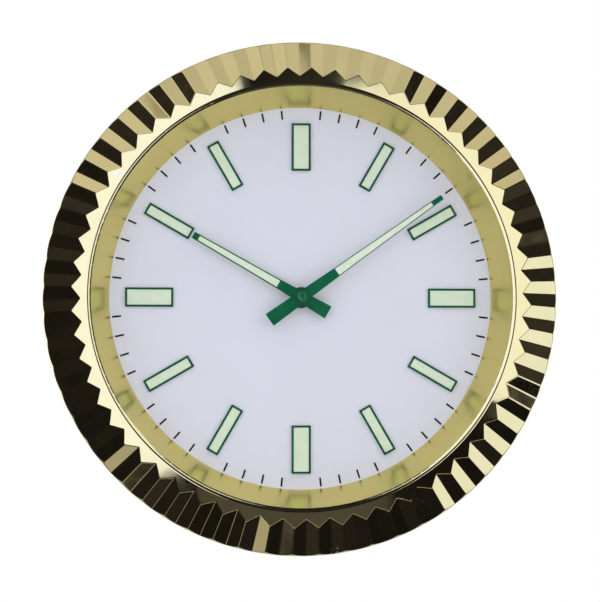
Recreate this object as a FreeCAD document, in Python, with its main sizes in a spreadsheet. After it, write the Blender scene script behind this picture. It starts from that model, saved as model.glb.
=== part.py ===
import FreeCAD, Part
import math
import os
import re
import Sketcher

# A round wall clock with a fluted bezel and a battery movement. Every piece is drawn flat:
# x to the right, y up and z out of the wall towards the viewer, then stood upright,
# so z becomes the depth in front of the wall.

os.makedirs("parts", exist_ok=True)
doc = FreeCAD.newDocument("wall_clock")
sheet = doc.addObject("Spreadsheet::Sheet", "Sizes")

driving_sizes = [
    ("rim_radius", 170, "outside of the case"),
    ("rim_wall", 3, "thickness of the case's side wall"),
    ("rim_round", 1.8, "how far the rounded outer edge comes in"),
    ("rim_round_radius", 7.3, "radius of the rounded outer edge"),
    ("rim_shoulder", 30.3, "depth where the outer edge starts to round"),
    ("rim_top", 35.1, "depth where the outer edge stops rounding"),
    ("rear_edge", 1, "rear edge of the bezel"),
    ("crest_radius", 140.86, "where the polished band meets the rolled crest"),
    ("crest_depth", 50.4246, "depth there"),
    ("crest_roll", 3, "radius of the rolled crest"),
    ("inner_crest_radius", 138.496, "where the rolled crest meets the slope down to the lip"),
    ("inner_crest_depth", 50.2296, "depth there"),
    ("lip_radius", 137.6, "inner edge of the bezel, in front of the glass"),
    ("lip_depth", 49.753, "depth of that edge"),
    ("band_slope", 0.336, "fall of the polished band per millimetre outwards"),
    ("flute_slope", 0.7, "fall of a flute's ridge per millimetre outwards"),
    ("ridge_start", 150.7, "radius where the ridges meet the polished band"),
    ("valley_start", 144.5, "radius where the valleys meet the polished band"),
    ("flute_count", 60, "flutes round the bezel"),
    ("flute_offset", 2.14, "angle from twelve to the first ridge"),
    ("shell_top", 45.9, "inside of the shell at its inner edge"),
    ("shell_bottom", 29.9, "inside of the shell at its outer edge"),
    ("seat_radius", 141.4, "bore that holds the glass, inner ring and dial"),
    ("seat_wall", 2.5, "wall round that bore"),
    ("seat_rear", 20, "rear end of that wall"),
    ("glass_front", 48.4, "front face of the glass"),
    ("glass_rear", 46, "rear face of the glass"),
    ("gasket_rear", 45.4, "rear face of the gasket"),
    ("stack_radius", 141.1, "outside of the glass, inner ring, dial and spacer"),
    ("aperture_radius", 126.7, "visible edge of the dial"),
    ("rehaut_radius", 139, "front edge of the inner ring"),
    ("dial_front", 26, "front face of the dial"),
    ("dial_rear", 24, "rear face of the dial"),
    ("tick_inner", 119.3, "inner end of the minute ticks"),
    ("tick_outer", 125.4, "outer end of the minute ticks"),
    ("tick_width", 1, "width of a minute tick"),
    ("ink_height", 0.12, "thickness of the printed ink"),
    ("marker_height", 1.6, "height of an applied marker"),
    ("marker_border", 1.3, "width of a marker's frame"),
    ("lume_height", 1.3, "height of the luminous fill"),
    ("wide_marker", 12.7, "width of the quarter markers"),
    ("wide_inner", 84.5, "inner end of the quarter markers"),
    ("wide_outer", 116.2, "outer end of the quarter markers"),
    ("narrow_marker", 8.6, "width of the other markers"),
    ("narrow_inner", 83.9, "inner end of the other markers"),
    ("narrow_outer", 117.9, "outer end of the other markers"),
    ("cover_radius", 166.7, "outside of the rear cover"),
    ("cover_front", 6.5, "front face of the rear cover"),
    ("cover_rear", 4.5, "rear face of the rear cover's panel"),
    ("cover_rim", 160, "inside of the rim that rests on the wall"),
    ("window_side", 66, "side of the window behind the movement"),
    ("boss_circle", 150, "radius of the circle of screw bosses"),
    ("boss_top", 40.5, "front end of the screw bosses"),
    ("boss_radius", 4, "radius of a screw boss"),
    ("pilot_radius", 1.5, "radius of a pilot hole"),
    ("screw_count", 6, "screws that hold the rear cover"),
    ("hang_height", 120, "height of the keyhole's round opening above the hands"),
    ("hang_radius", 5, "radius of the keyhole's round opening"),
    ("hang_slot", 2.5, "half the width of the keyhole's slot"),
    ("hang_rise", 10, "length of the keyhole's slot"),
    ("hanger_rear", 2.5, "rear face of the hanger plate"),
    ("case_side", 56, "side of the movement"),
    ("case_wall", 1.2, "side walls of the movement"),
    ("case_front", 23, "front face of the movement"),
    ("case_front_inside", 21.5, "inside of the movement's front plate"),
    ("case_joint", 12, "where the movement's two shells meet"),
    ("case_rear_inside", 7, "inside of the movement's rear plate"),
    ("case_rear", 5.5, "rear face of the movement"),
    ("bay_top", -12, "upper wall of the battery bay"),
    ("bay_half", 26.3, "half the length of the bay's opening"),
    ("battery_radius", 7.1, "radius of the cell"),
    ("battery_half", 25.25, "half the length of the cell, with its cap"),
    ("battery_height", -19.45, "height of the cell's axis"),
    ("battery_depth", 14.1, "depth of the cell's axis"),
    ("bushing_radius", 4, "outside of the threaded bushing"),
    ("bushing_bore", 2.9, "bore of the threaded bushing"),
    ("bushing_front", 29.4, "front end of the threaded bushing"),
    ("tube_radius", 2.85, "outside of the hour tube"),
    ("tube_bore", 1.8, "bore of the hour tube"),
    ("tube_front", 33.2, "front end of the hour tube"),
    ("arbor_radius", 1.75, "outside of the minute arbor"),
    ("hour_hand_rear", 31.2, "rear face of the hour hand"),
    ("minute_hand_rear", 35.4, "rear face of the minute hand"),
    ("hand_thickness", 1, "thickness of a hand"),
    ("hour_hand_angle", 299.8, "hour hand, clockwise from twelve"),
    ("minute_hand_angle", 54.4, "minute hand, clockwise from twelve"),
    ("axle_radius", 0.6, "radius of the fixed axles"),
    ("axle_play", 0.05, "clearance of a wheel on its axle"),
    ("motion_layer", 17.2, "rear face of the motion wheel"),
    ("hour_layer", 19.4, "rear face of the hour wheel"),
]

for row, (name, size, note) in enumerate(driving_sizes, 1):
    sheet.set(f"A{row}", name)
    sheet.set(f"B{row}", str(size))
    sheet.setAlias(f"B{row}", name)
    sheet.set(f"C{row}", note)
doc.recompute()
aliases = {name for name, size, note in driving_sizes}
stand_up = FreeCAD.Rotation(FreeCAD.Vector(1, 0, 0), 90)
nodes = []


def sheet_words(text):
    """Write a size such as "dial_front - 2" as the sheet's expression."""
    return re.sub(r"[a-z_]+", lambda word: "Sizes." + word[0] if word[0] in aliases else word[0], str(text))


def size_of(text):
    """The number that an expression of the sheet comes to now."""
    return float(sheet.evalExpression(sheet_words(text)))


def bind(thing, prop, text):
    thing.setExpression(prop, sheet_words(text))


def place(thing, x="0", y="0", depth="0", clockwise=0):
    """Stand a flat-drawn piece upright, turned clockwise about the clock's axis, after its offset."""
    turn = FreeCAD.Rotation(FreeCAD.Vector(0, 0, 1), -clockwise)
    offset = FreeCAD.Vector(size_of(x), size_of(y), size_of(depth))
    rotation = stand_up * turn
    thing.Placement = FreeCAD.Placement(rotation.multVec(offset), rotation)
    if x == "0" and y == "0":
        bind(thing, ".Placement.Base.y", f"-({depth})")


def node(thing, label):
    """Mark an object as a sub-part with a file of its own."""
    thing.Label = label
    nodes.append(thing)
    return thing


def new_body(name):
    body = doc.addObject("PartDesign::Body", name)
    place(body)
    return body


def new_sketch(body, role, lift="0"):
    """A sketch on one of the body's own planes, lifted along that plane's normal."""
    sketch = body.newObject("Sketcher::SketchObject", body.Name + "_sketch")
    plane = [feature for feature in body.Origin.OriginFeatures if feature.Role == role][0]
    sketch.AttachmentSupport = [(plane, "")]
    sketch.MapMode = "FlatFace"
    if lift != "0":
        bind(sketch, ".AttachmentOffset.Base.z", lift)
    return sketch


def pin_point(sketch, edge, end, x, y):
    """Hold one end of an edge at x, y, each bound to the sheet."""
    for kind, axis, text in (("DistanceX", -2, x), ("DistanceY", -1, y)):
        if size_of(text) == 0:
            sketch.addConstraint(Sketcher.Constraint("PointOnObject", edge, end, axis))
            continue
        index = sketch.addConstraint(Sketcher.Constraint(kind, -1, 1, edge, end, size_of(text)))
        bind(sketch, f"Constraints[{index}]", text)


def outline(sketch, corners, arcs=None):
    """A closed outline. arcs gives, for the edge after a corner, its radius, centre and sense."""
    arcs = arcs or {}
    spots = [FreeCAD.Vector(size_of(x), size_of(y), 0) for x, y in corners]
    ends = []
    for index, start in enumerate(spots):
        stop = spots[(index + 1) % len(spots)]
        if index not in arcs:
            ends.append((sketch.addGeometry(Part.LineSegment(start, stop), False), 1, 2))
            continue
        radius, centre_x, centre_y, sense = arcs[index]
        centre = FreeCAD.Vector(size_of(centre_x), size_of(centre_y), 0)
        circle = Part.Circle(centre, FreeCAD.Vector(0, 0, 1), size_of(radius))
        angles = [math.atan2(spot.y - centre.y, spot.x - centre.x) for spot in (start, stop)]
        low, high = angles if sense == "left" else reversed(angles)
        if high < low:
            high += 2 * math.pi
        edge = sketch.addGeometry(Part.ArcOfCircle(circle, low, high), False)
        flat = abs(stop.x - start.x) >= abs(stop.y - start.y)
        kind, text = ("DistanceY", centre_y) if flat else ("DistanceX", centre_x)
        bound = sketch.addConstraint(Sketcher.Constraint(kind, -1, 1, edge, 3, size_of(text)))
        bind(sketch, f"Constraints[{bound}]", text)
        ends.append((edge, 1, 2) if sense == "left" else (edge, 2, 1))
    for index, (edge, first, last) in enumerate(ends):
        following, opening, closing = ends[(index + 1) % len(ends)]
        sketch.addConstraint(Sketcher.Constraint("Coincident", edge, last, following, opening))
        pin_point(sketch, edge, first, *corners[index])


def rectangle(sketch, left, right, bottom, top):
    outline(sketch, [(left, bottom), (right, bottom), (right, top), (left, top)])


def circle(sketch, radius, x="0", y="0"):
    centre = FreeCAD.Vector(size_of(x), size_of(y), 0)
    edge = sketch.addGeometry(Part.Circle(centre, FreeCAD.Vector(0, 0, 1), size_of(radius)), False)
    bound = sketch.addConstraint(Sketcher.Constraint("Radius", edge, size_of(radius)))
    bind(sketch, f"Constraints[{bound}]", radius)
    if x == "0" and y == "0":
        sketch.addConstraint(Sketcher.Constraint("Coincident", edge, 3, -1, 1))
    else:
        pin_point(sketch, edge, 3, x, y)


def pad(body, sketch, length):
    feature = body.newObject("PartDesign::Pad", body.Name + "_pad")
    feature.Profile = sketch
    bind(feature, "Length", length)
    doc.recompute()
    return feature


def pocket(body, sketch, depth):
    """Cut towards the front from a sketch, and make sure that something was cut."""
    before = body.Shape.Volume
    feature = body.newObject("PartDesign::Pocket", body.Name + "_pocket")
    feature.Profile = sketch
    feature.Reversed = True
    bind(feature, "Length", depth)
    doc.recompute()
    if body.Shape.Volume >= before - 0.001:
        raise RuntimeError(f"{feature.Name} cut nothing")
    return feature


def repeat(body, features, count):
    """Repeat features evenly about the clock's axis."""
    pattern = body.newObject("PartDesign::PolarPattern", body.Name + "_pattern")
    pattern.Originals = features
    axis = [feature for feature in body.Origin.OriginFeatures if feature.Role == "Z_Axis"][0]
    pattern.Axis = (axis, [""])
    pattern.Angle = 360
    bind(pattern, "Occurrences", count)
    body.Tip = pattern
    doc.recompute()


def turned(name, corners, arcs=None):
    """A body turned about the clock's axis from a section of radius and depth."""
    body = new_body(name)
    sketch = new_sketch(body, "XZ_Plane")
    outline(sketch, corners, arcs)
    feature = body.newObject("PartDesign::Revolution", name + "_turn")
    feature.Profile = sketch
    feature.ReferenceAxis = (sketch, ["V_Axis"])
    feature.Angle = 360
    doc.recompute()
    return body


def ring(name, inner, outer, rear, front):
    """A plain flat ring or, with inner "0", a disc."""
    return turned(name, [(inner, rear), (outer, rear), (outer, front), (inner, front)])


def shaped(name, solid, **where):
    """An object that carries a solid worked out in this file."""
    thing = doc.addObject("Part::Feature", name)
    thing.Shape = solid
    place(thing, **where)
    return thing


def disc(radius, rear, front, x=0, y=0):
    return Part.makeCylinder(radius, front - rear, FreeCAD.Vector(x, y, rear))


def block(left, right, bottom, top, rear, front):
    return Part.makeBox(right - left, top - bottom, front - rear, FreeCAD.Vector(left, bottom, rear))


# The bezel: a turned ring whose front is cut by a many-sided pyramid, so that each flute is a
# V of two flat facets. All ridges and valleys run to one point on the axis.

def bezel_section():
    rounded = "rim_radius - rim_round"
    band_at_rim = f"crest_depth - band_slope * ({rounded} - crest_radius)"
    wall = "rim_radius - rim_wall"
    corners = [
        (wall, "rear_edge"), ("rim_radius", "rear_edge"), ("rim_radius", "rim_shoulder"),
        (rounded, "rim_top"), (rounded, band_at_rim), ("crest_radius", "crest_depth"),
        ("inner_crest_radius", "inner_crest_depth"), ("lip_radius", "lip_depth"),
        ("lip_radius", "glass_front"), ("seat_radius", "glass_front"),
        ("seat_radius", "seat_rear"), ("seat_radius + seat_wall", "seat_rear"),
        ("seat_radius + seat_wall", "shell_top"), (wall, "shell_bottom"),
    ]
    lean = math.hypot(1, size_of("band_slope"))
    crest_x = f"crest_radius - crest_roll * band_slope / {lean:.6f}"
    crest_y = f"crest_depth - crest_roll / {lean:.6f}"
    arcs = {
        2: ("rim_round_radius", "rim_radius - rim_round_radius", "rim_shoulder", "left"),
        5: ("crest_roll", crest_x, crest_y, "left"),
    }
    return turned("bezel_blank", corners, arcs)


pilot_length = "12"


def add_bosses(body):
    """Posts inside the shell, each with a pilot hole, that take the rear cover's screws."""
    post = new_sketch(body, "XY_Plane", "cover_front")
    circle(post, "boss_radius", "boss_circle")
    boss = pad(body, post, "boss_top - cover_front")
    hole = new_sketch(body, "XY_Plane", "cover_front")
    circle(hole, "pilot_radius", "boss_circle")
    pilot = pocket(body, hole, pilot_length)
    repeat(body, [boss, pilot], "screw_count")


def flute_pyramid():
    """A star-shaped pyramid: one flat facet from each ridge to the next valley."""
    count = int(size_of("flute_count"))
    slope, reach = size_of("flute_slope"), size_of("rim_radius + 6")
    ridge_depth = size_of("crest_depth - band_slope * (ridge_start - crest_radius)")
    valley_depth = size_of("crest_depth - band_slope * (valley_start - crest_radius)")
    peak = ridge_depth + slope * size_of("ridge_start")
    valley_slope = (peak - valley_depth) / size_of("valley_start")
    apex = FreeCAD.Vector(0, 0, peak)
    rim, foot = [], []
    for step in range(2 * count):
        angle = math.radians(90 - size_of("flute_offset") - step * 180 / count)
        fall = (slope, valley_slope)[step % 2] * reach
        x, y = reach * math.cos(angle), reach * math.sin(angle)
        rim.append(FreeCAD.Vector(x, y, peak - fall))
        foot.append(FreeCAD.Vector(x, y, -5))
    faces = [Part.Face(Part.makePolygon(foot + [foot[0]]))]
    for step, corner in enumerate(rim):
        other = (step + 1) % len(rim)
        faces.append(Part.Face(Part.makePolygon([apex, corner, rim[other], apex])))
        faces.append(Part.Face(Part.makePolygon([corner, rim[other], foot[other], foot[step], corner])))
    return shaped("flute_pyramid", Part.makeSolid(Part.makeShell(faces)))


blank = bezel_section()
add_bosses(blank)
bezel = doc.addObject("Part::Common", "bezel")
bezel.Base = blank
bezel.Tool = flute_pyramid()
node(bezel, "bezel")

# The stack held in the bezel's bore: glass, gasket, inner ring, dial and spacer.

node(ring("crystal", "0", "stack_radius", "glass_rear", "glass_front"), "crystal")
node(ring("crystal_gasket", "rehaut_radius - 0.1", "stack_radius", "gasket_rear", "glass_rear"),
     "crystal_gasket")
node(turned("rehaut_ring", [
    ("aperture_radius", "dial_front"), ("aperture_radius", "dial_front + 0.5"),
    ("rehaut_radius", "gasket_rear"), ("stack_radius", "gasket_rear"),
    ("stack_radius", "gasket_rear - 1.6"), ("rehaut_radius + 0.75", "gasket_rear - 1.6"),
    ("aperture_radius + 2.44", "dial_front + 1.5"), ("stack_radius", "dial_front + 1.5"),
    ("stack_radius", "dial_front")]), "rehaut_ring")
node(ring("dial_plate", "bushing_radius + 0.1", "stack_radius", "dial_rear", "dial_front"), "dial_plate")
node(ring("dial_spacer", "stack_radius - 6.5", "stack_radius", "cover_front", "dial_rear"), "dial_spacer")

# The dial's printed ticks and applied markers.


def tick(number):
    """One printed tick, drawn as a box at twelve and turned to its minute."""
    box = doc.addObject("Part::Box", f"tick_{number:02d}")
    bind(box, "Length", "tick_width")
    bind(box, "Width", "tick_outer - tick_inner")
    bind(box, "Height", "ink_height")
    place(box, "-tick_width / 2", "tick_inner", "dial_front", 6 * number)
    return box


def marker_frame(name, hour, width, inner, outer):
    body = new_body(name)
    frame = new_sketch(body, "XY_Plane", "dial_front")
    rectangle(frame, f"-{width} / 2", f"{width} / 2", inner, outer)
    rectangle(frame, f"-{width} / 2 + marker_border", f"{width} / 2 - marker_border",
              f"{inner} + marker_border", f"{outer} - marker_border")
    pad(body, frame, "marker_height")
    place(body, clockwise=30 * hour)
    return body


def marker_lume(name, hour, width, inner, outer):
    """The fill, with its front edges softened."""
    body = new_body(name)
    fill = new_sketch(body, "XY_Plane", "dial_front")
    rectangle(fill, f"-{width} / 2 + marker_border", f"{width} / 2 - marker_border",
              f"{inner} + marker_border", f"{outer} - marker_border")
    slab = pad(body, fill, "lume_height")
    soft = body.newObject("PartDesign::Chamfer", name + "_soft")
    top = max(face.CenterOfMass.z for face in slab.Shape.Faces)
    front = [f"Face{i}" for i, face in enumerate(slab.Shape.Faces, 1) if face.CenterOfMass.z > top - 0.001]
    soft.Base = (slab, front)
    soft.Size = 0.3
    body.Tip = soft
    place(body, clockwise=30 * hour)
    return body


def group(label, pieces):
    """Identical pieces that share one node."""
    joined = doc.addObject("Part::Compound", label)
    joined.Links = pieces
    return node(joined, label)


group("minute_track", [tick(minute) for minute in range(60) if minute % 5])
for kind, hours in (("wide", [0, 3, 6, 9]), ("narrow", [1, 2, 4, 5, 7, 8, 10, 11])):
    drawn = (f"{kind}_marker", f"{kind}_inner", f"{kind}_outer")
    group(f"{kind}_marker_frames", [marker_frame(f"{kind}_frame_{hour}", hour, *drawn) for hour in hours])
    group(f"{kind}_marker_lume", [marker_lume(f"{kind}_fill_{hour}", hour, *drawn) for hour in hours])

# The rear cover with its window, keyhole hanger and screws.

rivet_spots = [(side, rise) for side in (-13, 13) for rise in (-13, 21)]
rivet_radius, window_corner = 1.6, 6


def rear_cover():
    body = turned("back_cover", [
        ("0", "cover_rear"), ("cover_rim", "cover_rear"), ("cover_rim", "0"), ("cover_radius", "0"),
        ("cover_radius", "cover_front"), ("0", "cover_front")])
    thickness = "cover_front - cover_rear"
    window = new_sketch(body, "XY_Plane", "cover_rear")
    half, corner = "window_side / 2", f"window_side / 2 - {window_corner}"
    corners, arcs = [], {}
    for step, (sx, sy) in enumerate(((1, -1), (1, 1), (-1, 1), (-1, -1))):
        low_end = (f"{sx} * ({corner})", f"{sy} * ({half})")
        side_end = (f"{sx} * ({half})", f"{sy} * ({corner})")
        corners += [low_end, side_end] if sx * sy < 0 else [side_end, low_end]
        arcs[2 * step] = (str(window_corner), f"{sx} * ({corner})", f"{sy} * ({corner})", "left")
    outline(window, corners, arcs)
    pocket(body, window, thickness)
    clearance = new_sketch(body, "XY_Plane", "cover_rear")
    rectangle(clearance, "-8", "8", "hang_height - 8", "hang_height + hang_rise + 6")
    pocket(body, clearance, thickness)
    rivet_holes = new_sketch(body, "XY_Plane", "cover_rear")
    for side, rise in rivet_spots:
        circle(rivet_holes, str(rivet_radius), str(side), f"hang_height + {rise}")
    pocket(body, rivet_holes, thickness)
    hole = new_sketch(body, "XY_Plane", "cover_rear")
    circle(hole, "pilot_radius + 0.2", "boss_circle")
    repeat(body, [pocket(body, hole, thickness)], "screw_count")
    return body


def hanger():
    """A steel plate whose round opening passes a screw's head and whose slot rises from it."""
    body = new_body("hanger_plate")
    neck = math.sqrt(size_of("hang_radius") ** 2 - size_of("hang_slot") ** 2)
    side = new_sketch(body, "XY_Plane", "hanger_rear")
    rectangle(side, "-18", "18", "hang_height - 18", "hang_height + 26")
    outline(side, [("-hang_slot", f"hang_height + {neck}"), ("-hang_slot", "hang_height + hang_rise"),
                   ("hang_slot", "hang_height + hang_rise"), ("hang_slot", f"hang_height + {neck}")],
            {1: ("hang_slot", "0", "hang_height + hang_rise", "right"),
             3: ("hang_radius", "0", "hang_height", "right")})
    for x, rise in rivet_spots:
        circle(side, str(rivet_radius), str(x), f"hang_height + {rise}")
    pad(body, side, "cover_rear - hanger_rear")
    return body


def rivet(number, side, rise):
    y = size_of("hang_height") + rise
    rear, front = size_of("hanger_rear"), size_of("cover_front")
    solid = disc(3, rear - 0.9, rear, side, y).fuse(disc(rivet_radius, rear, front, side, y))
    return shaped(f"rivet_{number}", solid.removeSplitter())


def cover_screw(number):
    """A pan-head screw with a cross recess."""
    head_radius, head_height, shank_radius, shank_length = 3, 1.8, 1.45, 10
    angle = math.radians(360 / size_of("screw_count") * number)
    x, y = (size_of("boss_circle") * turn for turn in (math.cos(angle), math.sin(angle)))
    seat = size_of("cover_rear")
    solid = disc(head_radius, seat - head_height, seat, x, y)
    solid = solid.fuse(disc(shank_radius, seat, seat + shank_length, x, y))
    recess = seat - head_height / 2
    for across, along in ((0.4, 1.8), (1.8, 0.4)):
        solid = solid.cut(block(x - across, x + across, y - along, y + along, seat - 2, recess))
    return shaped(f"screw_{number}", solid.removeSplitter())


node(rear_cover(), "back_cover")
node(hanger(), "hanger_plate")
group("hanger_rivets", [rivet(number, *spot) for number, spot in enumerate(rivet_spots)])
group("back_cover_screws", [cover_screw(number) for number in range(int(size_of("screw_count")))])

# Where the wheels of the movement turn. Each centre distance is half the module times both
# tooth counts, and each direction keeps the wheels clear of the walls and of each other.


def wheel_spot(origin, distance, direction):
    angle = math.radians(direction)
    return (origin[0] + distance * math.cos(angle), origin[1] + distance * math.sin(angle))


motion_module, hour_module, third_module, train_module, rotor_module = 0.5, 0.48, 0.26, 0.25, 0.2
pressure_angle = math.radians(20)
motion_thickness = 1.4
centre_spot = (0, 0)
motion_spot = wheel_spot(centre_spot, motion_module * (12 + 36) / 2, 150)
knob_spot = wheel_spot(motion_spot, motion_module * (36 + 12) / 2, 120)
third_spot = wheel_spot(centre_spot, third_module * (80 + 10) / 2, 40)
seconds_spot = wheel_spot(third_spot, train_module * (75 + 10) / 2, 150)
intermediate_spot = wheel_spot(seconds_spot, train_module * (60 + 12) / 2, 30)
rotor_spot = wheel_spot(intermediate_spot, rotor_module * (72 + 12) / 2, 10)


def toothed(teeth, module, tooth_at, rear, front):
    """A spur gear of involute teeth with wide backlash, one tooth centred at tooth_at degrees."""
    pitch = module * teeth / 2
    base = pitch * math.cos(pressure_angle)
    root, tip = pitch - 0.95 * module, pitch + 0.7 * module

    def half_angle(radius):
        lean = math.acos(min(1, base / radius))
        return (0.4 * math.pi / teeth + math.tan(pressure_angle) - pressure_angle
                - math.tan(lean) + lean)

    flank = [root] + ([base] if base > root else []) + [pitch, tip]
    points = []
    for number in range(teeth):
        middle = math.radians(tooth_at) + number * 2 * math.pi / teeth
        rising = [(radius, middle - half_angle(radius)) for radius in flank]
        falling = [(radius, middle + half_angle(radius)) for radius in reversed(flank)]
        points += [FreeCAD.Vector(radius * math.cos(angle), radius * math.sin(angle), rear)
                   for radius, angle in rising + falling]
    face = Part.Face(Part.makePolygon(points + [points[0]]))
    return face.extrude(FreeCAD.Vector(0, 0, front - rear))


def meshing(teeth, tooth_at, direction, other_teeth):
    """Where a second gear, in that direction, must have a tooth so that the two mesh."""
    pitches = (direction - tooth_at) / (360 / teeth)
    other_pitch = 360 / other_teeth
    return direction + 180 + pitches * other_pitch + other_pitch / 2


def pinion_wheel(label, spot, wheel, pinion, hub_radius):
    """A wheel and pinion on one hub, bored to turn on a fixed axle."""
    bore = size_of("axle_radius + axle_play")
    low, high = min(wheel[3], pinion[3]), max(wheel[4], pinion[4])
    solid = toothed(*wheel).fuse(toothed(*pinion)).fuse(disc(hub_radius, low, high))
    solid = solid.cut(disc(bore, low - 1, high + 1)).removeSplitter()
    return node(shaped(label, solid, x=str(spot[0]), y=str(spot[1])), label)


# The motion work behind the dial: cannon pinion, motion wheel, hour wheel and setting pinion.

motion_layer, hour_layer = size_of("motion_layer"), size_of("hour_layer")
motion_front = motion_layer + motion_thickness
thread_radius, knob_radius, knob_rear = 1.2, 3.9, 2
cannon_tooth, motion_tooth = 150, meshing(12, 150, 150, 36)
knob_tooth = meshing(36, motion_tooth, 120, 12)
motion_pinion_tooth = 330
hour_tooth = meshing(10, motion_pinion_tooth, 330, 40)

pinion_wheel("motion_wheel", motion_spot,
             (36, motion_module, motion_tooth, motion_layer, motion_front),
             (10, hour_module, motion_pinion_tooth, motion_layer, hour_layer + 1.5), 1.6)


def hour_wheel():
    """The hour wheel and the tube that carries the hour hand through the bushing."""
    solid = toothed(40, hour_module, hour_tooth, hour_layer, hour_layer + motion_thickness)
    solid = solid.fuse(disc(size_of("tube_radius"), hour_layer, size_of("tube_front")))
    solid = solid.cut(disc(size_of("tube_bore"), hour_layer - 1, size_of("tube_front") + 1))
    return solid.removeSplitter()


def minute_arbor():
    """The minute arbor: rear pivot, collar, cannon pinion, long shaft and threaded end."""
    radius, hand = size_of("arbor_radius"), size_of("minute_hand_rear")
    pivot_rear, pivot_front, collar_rear, collar_front = 6.2, 7.4, 13.8, 14.5
    solid = disc(0.8, pivot_rear, pivot_front).fuse(disc(radius, pivot_front, hand))
    solid = solid.fuse(disc(2.4, collar_rear, collar_front)).fuse(disc(thread_radius, hand, hand + 3.2))
    solid = solid.fuse(toothed(12, motion_module, cannon_tooth, motion_layer, motion_front))
    return solid.removeSplitter()


def set_knob():
    """The setting knob, its shaft and its pinion, moulded in one."""
    rear = size_of("case_rear")
    solid = toothed(12, motion_module, knob_tooth, motion_layer, motion_front)
    solid = solid.fuse(disc(1.5, rear - 0.5, motion_front))
    solid = solid.fuse(toothed(30, 0.36, 0, knob_rear, rear - 0.4))
    solid = solid.cut(disc(knob_radius, knob_rear - 1, knob_rear + 0.6))
    arrow = disc(2.2, knob_rear - 0.2, knob_rear + 0.6)
    arrow = arrow.cut(block(-3, 3, -0.45, 0.45, knob_rear - 1, knob_rear + 0.3))
    return solid.fuse(arrow).removeSplitter()


node(shaped("hour_wheel", hour_wheel()), "hour_wheel")
node(shaped("minute_arbor", minute_arbor()), "minute_arbor")
node(shaped("set_knob", set_knob(), x=str(knob_spot[0]), y=str(knob_spot[1])), "set_knob")

# The going train, from the rotor to the centre wheel that drives the arbor by friction.

rotor_tooth = 190
intermediate_tooth = meshing(12, rotor_tooth, 190, 72)
intermediate_pinion_tooth = 210
seconds_tooth = meshing(12, intermediate_pinion_tooth, 210, 60)
seconds_pinion_tooth = 330
third_tooth = meshing(10, seconds_pinion_tooth, 330, 75)
third_pinion_tooth = 220
centre_tooth = meshing(10, third_pinion_tooth, 220, 80)

# The rear face of each wheel, stepping forwards so that each pinion reaches the next wheel.
intermediate_layer, seconds_layer, third_layer, centre_layer = 9.4, 11, 12.8, 14.6
train_thickness = 0.8

pinion_wheel("intermediate_wheel", intermediate_spot,
             (72, rotor_module, intermediate_tooth, intermediate_layer,
              intermediate_layer + train_thickness),
             (12, train_module, intermediate_pinion_tooth, intermediate_layer, seconds_layer + 1), 1.2)
pinion_wheel("seconds_wheel", seconds_spot,
             (60, train_module, seconds_tooth, seconds_layer, seconds_layer + train_thickness),
             (10, train_module, seconds_pinion_tooth, seconds_layer, third_layer + 1.1), 0.9)
pinion_wheel("third_wheel", third_spot,
             (75, train_module, third_tooth, third_layer, third_layer + train_thickness),
             (10, third_module, third_pinion_tooth, third_layer, centre_layer + 1.2), 1.1)


def centre_wheel():
    solid = toothed(80, third_module, centre_tooth, centre_layer, centre_layer + 1)
    solid = solid.fuse(disc(2.6, centre_layer, centre_layer + 1.2))
    bore = disc(size_of("arbor_radius + axle_play"), centre_layer - 1, centre_layer + 2)
    return solid.cut(bore).removeSplitter()


rotor_rear, rotor_front, rotor_sleeve, magnet_height = 9.2, 17.2, 0.95, 3


def rotor_pinion():
    """The rotor's pinion and the sleeve that carries its magnet."""
    bore = size_of("axle_radius + axle_play")
    solid = toothed(12, rotor_module, rotor_tooth, rotor_rear, rotor_rear + 1.4)
    solid = solid.fuse(disc(rotor_sleeve, rotor_rear + 1.2, rotor_front))
    return solid.cut(disc(bore, rotor_rear - 1, rotor_front + 1)).removeSplitter()


node(shaped("centre_wheel", centre_wheel()), "centre_wheel")
node(shaped("rotor_pinion", rotor_pinion(), x=str(rotor_spot[0]), y=str(rotor_spot[1])), "rotor_pinion")
magnet = disc(3, rotor_front - magnet_height, rotor_front)
magnet = magnet.cut(disc(rotor_sleeve, rotor_front - magnet_height - 1, rotor_front + 1))
node(shaped("rotor_magnet", magnet, x=str(rotor_spot[0]), y=str(rotor_spot[1])), "rotor_magnet")
node(ring("friction_spring", "arbor_radius", "2.9", "16", "motion_layer"), "friction_spring")

axle_ends = [("motion", motion_spot, "case_front_inside"), ("intermediate", intermediate_spot, "12.8"),
             ("seconds", seconds_spot, "14.6"), ("third", third_spot, "16.6"), ("rotor", rotor_spot, "18")]


socket_depth = "0.8"


def axle(name, spot, front):
    """A steel pin pressed into the movement's rear plate."""
    pin = doc.addObject("Part::Cylinder", f"{name}_axle")
    bind(pin, "Radius", "axle_radius")
    bind(pin, "Height", f"{front} - case_rear_inside + {socket_depth}")
    place(pin, str(spot[0]), str(spot[1]), f"case_rear_inside - {socket_depth}")
    return pin


group("train_axles", [axle(*entry) for entry in axle_ends])

# The movement's two shells.

half_case = "case_side / 2"
inside = "case_side / 2 - case_wall"
arbor_socket, knob_hole_radius = "0.85", "1.58"


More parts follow.
